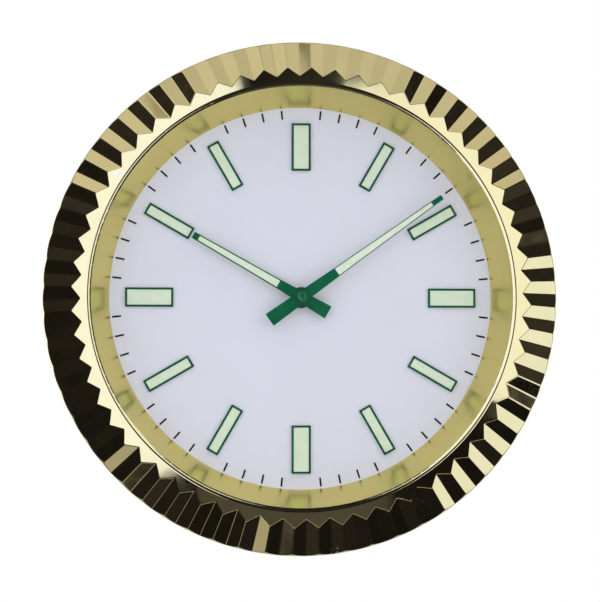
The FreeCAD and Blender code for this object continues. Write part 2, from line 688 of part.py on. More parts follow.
def front_shell():
    body = new_body("movement_front_case")
    plate = new_sketch(body, "XY_Plane", "case_front_inside")
    rectangle(plate, f"-{half_case}", half_case, f"-{half_case}", half_case)
    pad(body, plate, "case_front - case_front_inside")
    walls = new_sketch(body, "XY_Plane", "case_joint")
    rectangle(walls, f"-{half_case}", half_case, f"-{half_case}", half_case)
    rectangle(walls, f"-({inside})", inside, f"-({inside})", inside)
    pad(body, walls, "case_front_inside - case_joint")
    bushing = new_sketch(body, "XY_Plane", "case_front_inside")
    circle(bushing, "bushing_radius")
    pad(body, bushing, "bushing_front - case_front_inside")
    bore = new_sketch(body, "XY_Plane", "case_front_inside")
    circle(bore, "bushing_bore")
    pocket(body, bore, "bushing_front - case_front_inside")
    return body


def rear_shell():
    """The rear plate with the battery bay, the knob's hole and the axles' sockets."""
    body = new_body("movement_rear_case")
    plate = new_sketch(body, "XY_Plane", "case_rear")
    rectangle(plate, f"-{half_case}", half_case, f"-{half_case}", half_case)
    pad(body, plate, "case_rear_inside - case_rear")
    walls = new_sketch(body, "XY_Plane", "case_rear_inside")
    rectangle(walls, f"-{half_case}", half_case, f"-{half_case}", half_case)
    rectangle(walls, f"-({inside})", inside, f"-({inside})", inside)
    pad(body, walls, "case_joint - case_rear_inside")
    divider = new_sketch(body, "XY_Plane", "case_rear_inside")
    rectangle(divider, f"-({inside})", inside, "bay_top", "bay_top + 1")
    pad(body, divider, "case_front_inside - case_rear_inside - 0.1")
    opening = new_sketch(body, "XY_Plane", "case_rear")
    rectangle(opening, "-bay_half", "bay_half", f"-({inside})", "bay_top")
    pocket(body, opening, "case_rear_inside - case_rear")
    knob_hole = new_sketch(body, "XY_Plane", "case_rear")
    circle(knob_hole, knob_hole_radius, str(knob_spot[0]), str(knob_spot[1]))
    pocket(body, knob_hole, "case_rear_inside - case_rear")
    sockets = new_sketch(body, "XY_Plane", f"case_rear_inside - {socket_depth}")
    for name, spot, front in axle_ends:
        circle(sockets, "axle_radius", str(spot[0]), str(spot[1]))
    circle(sockets, arbor_socket)
    pocket(body, sockets, socket_depth)
    return body


node(front_shell(), "movement_front_case")
node(rear_shell(), "movement_rear_case")
node(ring("rubber_washer", "bushing_radius", "9", "case_front", "dial_rear"), "rubber_washer")
node(ring("dial_washer", "bushing_radius", "6.8", "dial_front", "dial_front + 0.4"), "dial_washer")
node(turned("dial_nut", [
    ("bushing_radius", "dial_front + 0.4"), ("6.7", "dial_front + 0.4"), ("7.1", "dial_front + 0.8"),
    ("7.1", "dial_front + 2.3"), ("6.6", "dial_front + 2.8"), ("bushing_radius", "dial_front + 2.8")]),
    "dial_nut")

# The motor's stator and coil, the circuit and the battery contacts.

rotor_x, rotor_y = rotor_spot
coil_y, coil_depth = 23.3, 16.5
core_left, core_right, core_half, core_thickness = -17.8, 12, 1, 0.8


def stator():
    """A flat iron plate: a block round the rotor and two arms to the ends of the coil's core."""
    rear, front = 15.3, 16.1
    solid = block(11.2, 20.6, 14.2, 24.6, rear, front)
    solid = solid.fuse(block(8.5, 12.5, 22, 24.6, rear, front))
    solid = solid.fuse(block(-18.2, 12, 18.3, 19.8, rear, front))
    solid = solid.fuse(block(-18.2, -14.4, 18.3, 24.6, rear, front))
    return solid.cut(disc(3.5, rear - 1, front + 1, rotor_x, rotor_y)).removeSplitter()


bobbin_bore, flange_radius, winding_radius = 1.7, 3.2, 3


def along_coil(radius, left, right):
    start = FreeCAD.Vector(left, coil_y, coil_depth)
    return Part.makeCylinder(radius, right - left, start, FreeCAD.Vector(1, 0, 0))


core = block(core_left, core_right, coil_y - core_half, coil_y + core_half,
             coil_depth - core_thickness / 2, coil_depth + core_thickness / 2)
bobbin_left, bobbin_right, flange = -13.8, 7.9, 0.8
bobbin = along_coil(bobbin_bore, bobbin_left, bobbin_right)
bobbin = bobbin.fuse(along_coil(flange_radius, bobbin_left, bobbin_left + flange))
bobbin = bobbin.fuse(along_coil(flange_radius, bobbin_right - flange, bobbin_right))
bobbin = bobbin.cut(core).removeSplitter()
winding = along_coil(winding_radius, bobbin_left + flange, bobbin_right - flange)
winding = winding.cut(along_coil(bobbin_bore, bobbin_left, bobbin_right))
board_front = 12

node(shaped("stator", stator()), "stator")
node(shaped("coil_core", core), "coil_core")
node(shaped("coil_bobbin", bobbin), "coil_bobbin")
node(shaped("coil_winding", winding), "coil_winding")
node(shaped("circuit_board", block(-26.2, -14, -10.5, 12, board_front - 1, board_front)), "circuit_board")
node(shaped("timing_chip", disc(3.2, board_front, board_front + 1.2, -19.5, -3)), "timing_chip")
can = Part.makeCylinder(1, 6, FreeCAD.Vector(-24, 3, board_front + 1), FreeCAD.Vector(0, 1, 0))
node(shaped("quartz_can", can), "quartz_can")


contact_thickness, cap_length, jacket_thickness = 0.4, 1.2, 0.15


def contact(side, bump_radius):
    """A sprung plate at one end of the bay, with a raised bump towards the cell."""
    wall, y = size_of(inside), size_of("battery_height")
    left, right = sorted((side * wall, side * (wall - contact_thickness)))
    solid = block(left, right, y - 5, y + 5, 8, 20)
    start = FreeCAD.Vector(side * (wall - contact_thickness), y, size_of("battery_depth"))
    bump = Part.makeCone(bump_radius, bump_radius / 2, 1, start, FreeCAD.Vector(-side, 0, 0))
    return solid.fuse(bump).removeSplitter()


def cell():
    """An AA cell: steel can with a raised cap, its plus end to the right."""
    radius, half = size_of("battery_radius"), size_of("battery_half")
    axis = FreeCAD.Vector(1, 0, 0)
    can_end = half - cap_length
    solid = Part.makeCylinder(radius - jacket_thickness, half + can_end, FreeCAD.Vector(-half, 0, 0), axis)
    cap = Part.makeCylinder(2.7, cap_length, FreeCAD.Vector(can_end, 0, 0), axis)
    return solid.fuse(cap).removeSplitter()


def sleeve():
    """The printed jacket round the can, turned in over both shoulders."""
    radius, half = size_of("battery_radius"), size_of("battery_half")
    axis = FreeCAD.Vector(1, 0, 0)
    start, length = -half + 0.8, 2 * (half - cap_length)
    solid = Part.makeCylinder(radius, length, FreeCAD.Vector(start, 0, 0), axis)
    inner = FreeCAD.Vector(start - 1, 0, 0)
    return solid.cut(Part.makeCylinder(radius - jacket_thickness, length + 2, inner, axis))


node(shaped("battery_contact_plus", contact(1, 2)), "battery_contact_plus")
node(shaped("battery_contact_minus", contact(-1, 3.5)), "battery_contact_minus")
node(shaped("battery_cell", cell(), y="battery_height", depth="battery_depth"), "battery_cell")
node(shaped("battery_sleeve", sleeve(), y="battery_height", depth="battery_depth"), "battery_sleeve")

# The hands: straight tapering bars, each with a slot that holds its luminous strip.

hands = {
    "hour": {"tail": 20.2, "tail_half": 4.55, "slot_start": 17.7, "slot_half": 3.15, "slot_end": 78.2,
             "tip": 82.4, "tip_half": 2.25, "border": 0.8, "bore": "tube_radius"},
    "minute": {"tail": 26.3, "tail_half": 4.7, "slot_start": 28.4, "slot_half": 3.15, "slot_end": 106.3,
               "tip": 114.5, "tip_half": 1.7, "border": 0.55, "bore": str(thread_radius)},
}


def bar_half(hand, along):
    """Half the hand's width at a distance from the centre."""
    stations = [(-hand["tail"], hand["tail_half"]), (hand["slot_start"], hand["slot_half"]),
                (hand["tip"], hand["tip_half"])]
    first = stations[0:2] if along < hand["slot_start"] else stations[1:3]
    (low, low_half), (high, high_half) = first
    return low_half + (high_half - low_half) * (along - low) / (high - low)


def slot_corners(hand):
    low, high = hand["slot_start"], hand["slot_end"]
    low_half, high_half = (bar_half(hand, along) - hand["border"] for along in (low, high))
    return [(str(-low_half), str(low)), (str(low_half), str(low)),
            (str(high_half), str(high)), (str(-high_half), str(high))]


def hand_body(name, hand, rear, angle):
    body = new_body(f"{name}_hand")
    bar = new_sketch(body, "XY_Plane", rear)
    tail, tip = str(-hand["tail"]), str(hand["tip"])
    shoulder = str(hand["slot_start"])
    outline(bar, [(str(-hand["tail_half"]), tail), (str(hand["tail_half"]), tail),
                  (str(hand["slot_half"]), shoulder), (str(hand["tip_half"]), tip),
                  (str(-hand["tip_half"]), tip), (str(-hand["slot_half"]), shoulder)])
    outline(bar, slot_corners(hand))
    circle(bar, hand["bore"])
    pad(body, bar, "hand_thickness")
    place(body, clockwise=angle)
    return node(body, f"{name}_hand")


def hand_lume(name, hand, rear, angle):
    body = new_body(f"{name}_hand_lume")
    strip = new_sketch(body, "XY_Plane", f"{rear} + 0.1")
    outline(strip, slot_corners(hand))
    pad(body, strip, "hand_thickness - 0.2")
    place(body, clockwise=angle)
    return node(body, f"{name}_hand_lume")


for name in hands:
    rear, angle = f"{name}_hand_rear", size_of(f"{name}_hand_angle")
    hand_body(name, hands[name], rear, angle)
    hand_lume(name, hands[name], rear, angle)

node(ring("hour_hand_bush", "tube_radius", "4.3", "hour_hand_rear - 1.2", "hour_hand_rear"),
     "hour_hand_bush")
node(ring("minute_hand_bush", "arbor_radius", "3.6", "minute_hand_rear - 1.2", "minute_hand_rear"),
     "minute_hand_bush")
cap_rear = "minute_hand_rear + hand_thickness"
node(turned("hand_nut", [
    (str(thread_radius), cap_rear), ("3.4", cap_rear), ("3.4", f"{cap_rear} + 2.8"),
    ("2.6", f"{cap_rear} + 3.6"), ("0", f"{cap_rear} + 3.8"), ("0", f"{cap_rear} + 2.4"),
    (str(thread_radius), f"{cap_rear} + 2.4")]), "hand_nut")

# Every object is checked before any file is written.

doc.recompute()
for thing in doc.Objects:
    if {"Invalid", "Error"} & set(thing.State):
        raise RuntimeError(f"{thing.Name} failed: {thing.State}")
for thing in nodes:
    if thing.Shape.isNull() or not thing.Shape.isValid():
        raise RuntimeError(f"{thing.Label} has no valid shape")
for thing in nodes:
    thing.Shape.exportStep(f"parts/{thing.Label}.step")
print(len(nodes), "sub-parts written")
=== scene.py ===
# Round wall clock with a fluted gold case: the looks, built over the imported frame.
import math
import bmesh
import bpy
from mathutils import Matrix, Vector


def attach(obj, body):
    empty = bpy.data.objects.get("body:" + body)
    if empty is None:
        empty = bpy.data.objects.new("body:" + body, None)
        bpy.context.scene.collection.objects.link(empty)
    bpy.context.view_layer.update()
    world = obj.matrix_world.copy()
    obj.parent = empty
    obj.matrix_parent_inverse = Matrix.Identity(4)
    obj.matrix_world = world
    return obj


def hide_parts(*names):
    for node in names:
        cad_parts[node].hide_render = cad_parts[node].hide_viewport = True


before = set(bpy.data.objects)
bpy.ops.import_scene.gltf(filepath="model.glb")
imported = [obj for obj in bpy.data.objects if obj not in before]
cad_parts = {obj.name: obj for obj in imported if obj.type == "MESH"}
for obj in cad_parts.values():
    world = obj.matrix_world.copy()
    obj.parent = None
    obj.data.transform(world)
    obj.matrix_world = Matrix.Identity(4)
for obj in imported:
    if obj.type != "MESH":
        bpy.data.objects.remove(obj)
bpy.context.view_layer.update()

mm = 0.001  # lengths below are millimetres, depths are measured out from the wall


# shaping tools

def facePoint(across, along, depth, clockwise=0.0):
    turn = math.radians(clockwise)
    x = across * math.cos(turn) + along * math.sin(turn)
    z = along * math.cos(turn) - across * math.sin(turn)
    return Vector((x, -depth, z)) * mm


def filleted(corners, radius, steps=4):
    # a closed outline with each corner turned into an arc; radius may be one per corner
    points = []
    for i, corner in enumerate(corners):
        size = radius[i] if isinstance(radius, (list, tuple)) else radius
        here = Vector(corner)
        if size <= 0:
            points.append(here)
            continue
        before = (Vector(corners[i - 1]) - here).normalized()
        after = (Vector(corners[(i + 1) % len(corners)]) - here).normalized()
        half = before.angle(after) / 2
        middle = here + (before + after).normalized() * size / math.sin(half)
        start = here + before * size / math.tan(half) - middle
        stop = here + after * size / math.tan(half) - middle
        first = math.atan2(start.y, start.x)
        sweep = (math.atan2(stop.y, stop.x) - first + math.pi) % (2 * math.pi) - math.pi
        for k in range(steps + 1):
            angle = first + sweep * k / steps
            points.append(middle + Vector((math.cos(angle), math.sin(angle))) * size)
    return points


def inset(points, distance):
    # the outline moved inwards by an even distance
    area = sum(points[i - 1].cross(points[i]) for i in range(len(points)))
    sense = 1 if area > 0 else -1
    moved = []
    for i, here in enumerate(points):
        back = (here - points[i - 1]).normalized()
        ahead = (points[(i + 1) % len(points)] - here).normalized()
        first, second = Vector((-back.y, back.x)), Vector((-ahead.y, ahead.x))
        moved.append(here + (first + second) * sense * distance / (1 + first.dot(second)))
    return moved


def skin(bm, loops, wrap=False):
    # joins loops of points into one closed surface; a loop of one point is a pole
    rings = [[bm.verts.new(point) for point in loop] for loop in loops]
    pairs = list(zip(rings, rings[1:]))
    if wrap:
        pairs.append((rings[-1], rings[0]))
    for near, far in pairs:
        count = max(len(near), len(far))
        for i in range(count):
            j = (i + 1) % count
            corners = [near[i % len(near)], near[j % len(near)], far[j % len(far)], far[i % len(far)]]
            corners = list(dict.fromkeys(corners))
            if len(corners) > 2:
                bm.faces.new(corners)
    if not wrap:
        for ring in (rings[0], rings[-1]):
            if len(ring) > 2:
                bm.faces.new(ring)


def lathe(bm, profile, centre=(0, 0), steps=180, wrap=True):
    loops = []
    for radius, depth in profile:
        if radius < 0.001:
            loops.append([facePoint(*centre, depth)])
            continue
        turns = [2 * math.pi * k / steps for k in range(steps)]
        loops.append([facePoint(centre[0] + radius * math.sin(turn),
                                centre[1] + radius * math.cos(turn), depth) for turn in turns])
    skin(bm, loops, wrap)


def slab(bm, outline, rear, front, edge, clockwise=0.0, steps=3):
    # a flat plate with its front edge rounded
    levels = [(0, rear)]
    for k in range(steps + 1):
        bend = math.pi / 2 * k / steps
        levels.append((edge * (1 - math.cos(bend)), front - edge + edge * math.sin(bend)))
    skin(bm, [[facePoint(p.x, p.y, depth, clockwise) for p in inset(outline, shift)]
              for shift, depth in levels])


def windowed(bm, outer, window, rear, front, edge, clockwise=0.0, steps=3):
    # a flat plate with a window; both outlines have the same number of points
    levels = [(0, rear)]
    for k in range(steps + 1):
        bend = math.pi / 2 * k / steps
        levels.append((edge * (1 - math.cos(bend)), front - edge + edge * math.sin(bend)))
    loops = [(inset(outer, shift), depth) for shift, depth in levels]
    loops += [(inset(window, -shift), depth) for shift, depth in reversed(levels)]
    skin(bm, [[facePoint(p.x, p.y, depth, clockwise) for p in loop] for loop, depth in loops], wrap=True)


def newPiece(name, bm, finish, body, nodes=(), sharp=40, bevel=0):
    bmesh.ops.recalc_face_normals(bm, faces=bm.faces)
    mesh = bpy.data.meshes.new(name)
    bm.to_mesh(mesh)
    bm.free()
    mesh.materials.append(finish)
    mesh.shade_smooth()
    mesh.set_sharp_from_angle(angle=math.radians(sharp))
    piece = bpy.data.objects.new(name, mesh)
    bpy.context.scene.collection.objects.link(piece)
    if bevel:
        soften = piece.modifiers.new("soften", "BEVEL")
        soften.width = bevel * mm
        soften.segments = 2
        soften.limit_method = "ANGLE"
        soften.angle_limit = math.radians(32)
    weigh = piece.modifiers.new("weigh", "WEIGHTED_NORMAL")
    weigh.keep_sharp = True
    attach(piece, body)
    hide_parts(*nodes)
    return piece


def softenedCopy(name, node, finish, body, bevel, addTo=None):
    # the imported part's own shape, with its hard edges rounded
    bm = bmesh.new()
    bm.from_mesh(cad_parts[node].data)
    bmesh.ops.remove_doubles(bm, verts=bm.verts, dist=0.002 * mm)
    bmesh.ops.dissolve_limit(bm, angle_limit=math.radians(1), verts=bm.verts, edges=bm.edges)
    if addTo:
        addTo(bm)
    return newPiece(name, bm, finish, body, [node], sharp=60, bevel=bevel)


# shader tools

def put(tree, kind, inputs=None, **settings):
    # adds one shader node; an input given a socket is linked, anything else is its value
    node = tree.nodes.new(kind)
    for key, value in settings.items():
        setattr(node, key, value)
    for key, value in (inputs or {}).items():
        if isinstance(value, bpy.types.NodeSocket):
            tree.links.new(value, node.inputs[key])
        else:
            node.inputs[key].default_value = value
    return node


def newGroup(name, takes, gives):
    group = bpy.data.node_groups.new(name, "ShaderNodeTree")
    for label, value in takes.items():
        kind = "NodeSocketColor" if isinstance(value, tuple) else "NodeSocketFloat"
        group.interface.new_socket(name=label, in_out="INPUT", socket_type=kind).default_value = value
    for label, kind in gives.items():
        group.interface.new_socket(name=label, in_out="OUTPUT", socket_type="NodeSocket" + kind)
    return group, put(group, "NodeGroupInput").outputs, put(group, "NodeGroupOutput").inputs


def sums(tree, operation, first, second, third=0.0):
    return put(tree, "ShaderNodeMath", {0: first, 1: second, 2: third}, operation=operation).outputs[0]


def mixed(tree, factor, first, second, how="MIX"):
    return put(tree, "ShaderNodeMix", {"Factor": factor, 6: first, 7: second},
               data_type="RGBA", blend_type=how).outputs[2]


def spread(tree, value, low, high, toLow=0.0, toHigh=1.0):
    return put(tree, "ShaderNodeMapRange", {"Value": value, "From Min": low, "From Max": high,
                                            "To Min": toLow, "To Max": toHigh}).outputs[0]


def grey(tree, value):
    return put(tree, "ShaderNodeCombineColor", {0: value, 1: value, 2: value}).outputs[0]


def bumped(tree, height, distance, strength=1.0):
    # the normal that a height gives, with the distance in millimetres
    inputs = {"Height": height, "Distance": distance * mm, "Strength": strength}
    return put(tree, "ShaderNodeBump", inputs).outputs[0]


def noise(tree, scale, detail=3.0, where=None, rough=0.5):
    inputs = {"Scale": scale, "Detail": detail, "Roughness": rough}
    inputs["Vector"] = where or put(tree, "ShaderNodeTexCoord").outputs["Object"]
    return put(tree, "ShaderNodeTexNoise", inputs).outputs[0]


def buildTone():
    # slow drift of a colour's brightness and of its roughness over the surface
    group, takes, gives = newGroup("tone", {
        "Colour": (0.5, 0.5, 0.5, 1), "Drift": 0.1, "Scale": 40.0, "Roughness": 0.4, "Rough Drift": 0.05,
    }, {"Colour": "Color", "Roughness": "Float"})
    slow = spread(group, noise(group, takes["Scale"], 4.0), 0.3, 0.7, -1.0, 1.0)
    bright = sums(group, "MULTIPLY_ADD", slow, takes["Drift"], 1.0)
    group.links.new(mixed(group, 1.0, takes["Colour"], grey(group, bright), "MULTIPLY"), gives["Colour"])
    smear = noise(group, sums(group, "MULTIPLY", takes["Scale"], 2.7), 5.0, rough=0.65)
    smear = spread(group, smear, 0.35, 0.75, -1.0, 1.0)
    group.links.new(sums(group, "MULTIPLY_ADD", smear, takes["Rough Drift"], takes["Roughness"]),
                    gives["Roughness"])
    return group


def buildEdgesAndHollows():
    # paler colour on sharp edges (rubbed wear, and a painted highlight on the gold ridges and the luminous
    # fill) and darker colour in the hollows, from the surface's own pointiness
    group, takes, gives = newGroup("edgesAndHollows", {
        "Colour": (0.5, 0.5, 0.5, 1), "Worn And Highlight Colour": (0.8, 0.8, 0.8, 1),
        "Hollow Colour": (0.1, 0.09, 0.07, 1),
        "Wear And Highlight": 0.4, "Hollow Amount": 0.4,
    }, {"Colour": "Color", "Worn And Highlight": "Float", "Hollowed": "Float"})
    point = put(group, "ShaderNodeNewGeometry").outputs["Pointiness"]
    patchy = spread(group, noise(group, 260.0, 5.0, rough=0.7), 0.38, 0.62)
    wearAndHighlightHere = sums(group, "MULTIPLY", patchy, takes["Wear And Highlight"])
    hollowHere = sums(group, "MULTIPLY", patchy, takes["Hollow Amount"])
    # paler colour on sharp edges: rubbed wear on most finishes, a painted highlight on the gold ridges and
    # the luminous fill
    wornAndHighlight = sums(group, "MULTIPLY", spread(group, point, 0.53, 0.58), wearAndHighlightHere)
    # darker colour and more roughness in the hollows, where the surface folds inward
    hollowed = sums(group, "MULTIPLY", spread(group, point, 0.485, 0.42), hollowHere)
    darkerInHollows = mixed(group, hollowed, takes["Colour"], takes["Hollow Colour"])
    group.links.new(mixed(group, wornAndHighlight, darkerInHollows, takes["Worn And Highlight Colour"]), gives["Colour"])
    group.links.new(wornAndHighlight, gives["Worn And Highlight"])
    group.links.new(hollowed, gives["Hollowed"])
    return group


def buildRingBrush():
    # fine brushing that runs round the clock's axis
    group, takes, gives = newGroup("ringBrush", {"Density": 900.0}, {"Height": "Float", "Shade": "Float"})
    here = put(group, "ShaderNodeTexCoord").outputs["Object"]
    place = put(group, "ShaderNodeSeparateXYZ", {0: here}).outputs
    flat = put(group, "ShaderNodeCombineXYZ", {"X": place["X"], "Y": place["Z"]}).outputs[0]
    radius = put(group, "ShaderNodeVectorMath", {0: flat}, operation="LENGTH").outputs["Value"]
    angle = sums(group, "ARCTAN2", place["X"], place["Z"])
    spot = put(group, "ShaderNodeCombineXYZ", {
        "X": sums(group, "MULTIPLY", radius, takes["Density"]),
        "Y": sums(group, "MULTIPLY", place["Y"], takes["Density"]),
        "Z": sums(group, "MULTIPLY", angle, 3.0)}).outputs[0]
    lines = noise(group, 1.0, 4.0, spot, 0.7)
    group.links.new(lines, gives["Height"])
    group.links.new(spread(group, lines, 0.3, 0.7), gives["Shade"])
    return group


def buildTexture():
    # the fine sparked texture of a mould, or the orange peel of a sprayed coat, by scale
    group, takes, gives = newGroup("surfaceTexture", {"Scale": 2500.0, "Peel": 150.0, "Fine": 0.5},
                                   {"Height": "Float"})
    here = put(group, "ShaderNodeTexCoord").outputs["Object"]
    cells = put(group, "ShaderNodeTexVoronoi", {"Vector": here, "Scale": takes["Scale"]},
                feature="SMOOTH_F1").outputs[0]
    peel = noise(group, takes["Peel"], 2.0)
    fine = sums(group, "MULTIPLY", cells, takes["Fine"])
    coarse = sums(group, "MULTIPLY", peel, sums(group, "SUBTRACT", 1.0, takes["Fine"]))
    group.links.new(sums(group, "ADD", fine, coarse), gives["Height"])
    return group


tone, edgesAndHollows, ringBrush, surfaceTexture = buildTone(), buildEdgesAndHollows(), buildRingBrush(), buildTexture()
print("shader groups ready")


def placeGroup(tree, group, inputs):
    node = tree.nodes.new("ShaderNodeGroup")
    node.node_tree = group
    for key, value in inputs.items():
        if isinstance(value, bpy.types.NodeSocket):
            tree.links.new(value, node.inputs[key])
        else:
            node.inputs[key].default_value = value
    return node.outputs


def texturedNormal(tree, scale, peel, fine, distance):
    height = placeGroup(tree, surfaceTexture, {"Scale": scale, "Peel": peel, "Fine": fine})["Height"]
    return bumped(tree, height, distance)


def newFinish(name):
    finish = bpy.data.materials.new(name)
    finish.use_nodes = True
    tree = finish.node_tree
    tree.nodes.clear()
    return finish, tree, put(tree, "ShaderNodeOutputMaterial").inputs["Surface"]


def rgb(colour):
    return (*colour, 1.0)


def solidFinish(name, colour, roughness, metallic=0.0, drift=0.06, scale=40.0, roughDrift=0.04, wornAndHighlight=None,
                wearAndHighlightAmount=0.3, hollowAmount=0.3, edgeRough=0.05, texture=None, brushed=None, bump=0.01,
                **sockets):
    # one finish for metals, mouldings and paints; texture is (scale, peel, fine), bump is in millimetres
    finish, tree, surface = newFinish(name)
    base = placeGroup(tree, tone, {"Colour": rgb(colour), "Drift": drift, "Scale": scale,
                                   "Roughness": roughness, "Rough Drift": roughDrift})
    # paler colour on sharp edges: wear on most finishes, a painted highlight on the polished gold
    used = placeGroup(tree, edgesAndHollows, {"Colour": base["Colour"], "Worn And Highlight Colour": rgb(wornAndHighlight or colour),
                                   "Wear And Highlight": wearAndHighlightAmount if wornAndHighlight else 0.0, "Hollow Amount": hollowAmount})
    rubbed = sums(tree, "MULTIPLY_ADD", used["Worn And Highlight"], edgeRough, base["Roughness"])
    colourOut, roughOut = used["Colour"], sums(tree, "MULTIPLY_ADD", used["Hollowed"], 0.25, rubbed)
    if brushed:
        lines = placeGroup(tree, ringBrush, {"Density": brushed})
        shade = spread(tree, lines["Shade"], 0.0, 1.0, 0.965, 1.02)
        colourOut = mixed(tree, 1.0, colourOut, grey(tree, shade), "MULTIPLY")
        normal = bumped(tree, lines["Height"], bump)
        sockets["Tangent"] = put(tree, "ShaderNodeTangent", direction_type="RADIAL", axis="Y").outputs[0]
    else:
        normal = texturedNormal(tree, *(texture or (2500.0, 150.0, 0.5)), bump)
    shader = put(tree, "ShaderNodeBsdfPrincipled", {
        "Base Color": colourOut, "Roughness": roughOut, "Metallic": metallic, "Normal": normal, **sockets})
    tree.links.new(shader.outputs[0], surface)
    return finish


# finishes

# the pale cream colour on the ridges and edges, at full strength, is a painted highlight
polishedGold = solidFinish("polishedGold", (0.80, 0.695, 0.35), 0.085, 1.0, drift=0.03, scale=30,
                           roughDrift=0.03, wornAndHighlight=(0.92, 0.87, 0.66), wearAndHighlightAmount=1.0, hollowAmount=0.25,
                           edgeRough=0.35, texture=(900.0, 55.0, 0.01), bump=0.005)
satinGold = solidFinish("satinGold", (0.80, 0.675, 0.235), 0.24, 1.0, drift=0.012, scale=25,
                        roughDrift=0.015, hollowAmount=0.0, brushed=1500.0, bump=0.001,
                        **{"Anisotropic": 0.7, "Anisotropic Rotation": 0.25})
blackMoulding = solidFinish("blackMoulding", (0.028, 0.028, 0.031), 0.48, wornAndHighlight=(0.12, 0.12, 0.12),
                            bump=0.02, texture=(2600.0, 300.0, 0.7))
coverBlack = solidFinish("coverBlack", (0.030, 0.030, 0.033), 0.52, wornAndHighlight=(0.13, 0.13, 0.13), drift=0.12,
                         scale=18, hollowAmount=0.6, bump=0.035, texture=(1500.0, 260.0, 0.75))
movementBlack = solidFinish("movementBlack", (0.022, 0.022, 0.025), 0.40, wornAndHighlight=(0.1, 0.1, 0.1),
                            bump=0.015, texture=(3200.0, 400.0, 0.7))
gasketRubber = solidFinish("gasketRubber", (0.022, 0.021, 0.02), 0.62, drift=0.15, bump=0.01,
                           texture=(3500.0, 500.0, 0.6))
blackNut = solidFinish("blackNut", (0.035, 0.05, 0.045), 0.36, 0.7, wornAndHighlight=(0.30, 0.32, 0.30),
                       wearAndHighlightAmount=0.5, bump=0.006)
screwSteel = solidFinish("screwSteel", (0.16, 0.16, 0.17), 0.38, 1.0, wornAndHighlight=(0.55, 0.55, 0.55),
                         wearAndHighlightAmount=0.8, bump=0.008)
zincSteel = solidFinish("zincSteel", (0.66, 0.66, 0.64), 0.34, 1.0, drift=0.12, scale=70, roughDrift=0.12,
                        wornAndHighlight=(0.8, 0.8, 0.8), bump=0.008, texture=(700.0, 240.0, 0.4))
plainBrass = solidFinish("plainBrass", (0.74, 0.55, 0.26), 0.27, 1.0, drift=0.08, wornAndHighlight=(0.88, 0.76, 0.5),
                         bump=0.005)
statorSteel = solidFinish("statorSteel", (0.46, 0.46, 0.47), 0.38, 1.0, drift=0.1, bump=0.006)
whiteMoulding = solidFinish("whiteMoulding", (0.78, 0.78, 0.73), 0.32, drift=0.04, bump=0.006)
copperWire = solidFinish("copperWire", (0.62, 0.22, 0.09), 0.26, 1.0, drift=0.15, scale=600, bump=0.03,
                         texture=(9000.0, 900.0, 0.8))
greenBoard = solidFinish("greenBoard", (0.03, 0.20, 0.09), 0.30, drift=0.12, scale=300, bump=0.01)
chipResin = solidFinish("chipResin", (0.015, 0.015, 0.016), 0.28, drift=0.1, bump=0.01)
nickelPlate = solidFinish("nickelPlate", (0.70, 0.68, 0.63), 0.22, 1.0, drift=0.06,
                          wornAndHighlight=(0.85, 0.84, 0.8), bump=0.004)
groundSteel = solidFinish("groundSteel", (0.56, 0.56, 0.57), 0.24, 1.0, bump=0.004,
                          texture=(6000.0, 800.0, 0.8))
ferriteGrey = solidFinish("ferriteGrey", (0.07, 0.07, 0.075), 0.55, 0.3, drift=0.15, bump=0.015)
cellCan = solidFinish("cellCan", (0.72, 0.72, 0.70), 0.20, 1.0, drift=0.05, wornAndHighlight=(0.85, 0.85, 0.84),
                      bump=0.004)
markerEnamel = solidFinish("markerEnamel", (0.006, 0.092, 0.042), 0.16, drift=0.10, scale=90,
                           wornAndHighlight=(0.05, 0.30, 0.16), wearAndHighlightAmount=0.5, hollowAmount=0.3, bump=0.003,
                           texture=(2500.0, 420.0, 0.2), **{"Specular IOR Level": 0.4})
handEnamel = solidFinish("handEnamel", (0.004, 0.110, 0.044), 0.15, drift=0.10, scale=70,
                         wornAndHighlight=(0.04, 0.25, 0.13), wearAndHighlightAmount=0.5, hollowAmount=0.3, bump=0.003,
                         texture=(2500.0, 420.0, 0.2), **{"Specular IOR Level": 0.4})


def luminousPaint():
    # grainy pale fill, a little warmer in patches, with a painted highlight where it meets its frame
    finish, tree, surface = newFinish("luminousPaint")
    base = placeGroup(tree, tone, {"Colour": rgb((0.73, 0.83, 0.59)), "Drift": 0.05, "Scale": 160.0,
                                   "Roughness": 0.58, "Rough Drift": 0.06})
    patches = spread(tree, noise(tree, 95.0, 3.0), 0.42, 0.62)
    warm = mixed(tree, sums(tree, "MULTIPLY", patches, 0.35), base["Colour"], rgb((0.78, 0.80, 0.62)))
    specks = spread(tree, noise(tree, 2400.0, 2.0), 0.60, 0.74)
    speckled = mixed(tree, sums(tree, "MULTIPLY", specks, 0.3), warm, rgb((0.90, 0.96, 0.84)))
    # the paler edge colour is a painted highlight along the fill's shoulder
    used = placeGroup(tree, edgesAndHollows, {"Colour": speckled, "Worn And Highlight Colour": rgb((0.88, 0.95, 0.80)), "Wear And Highlight": 0.6,
                                   "Hollow Colour": rgb((0.45, 0.55, 0.36)), "Hollow Amount": 0.5})
    normal = texturedNormal(tree, 3800.0, 500.0, 0.6, 0.02)
    shader = put(tree, "ShaderNodeBsdfPrincipled", {
        "Base Color": used["Colour"], "Roughness": base["Roughness"], "Normal": normal,
        "Specular IOR Level": 0.35})
    tree.links.new(shader.outputs[0], surface)
    return finish


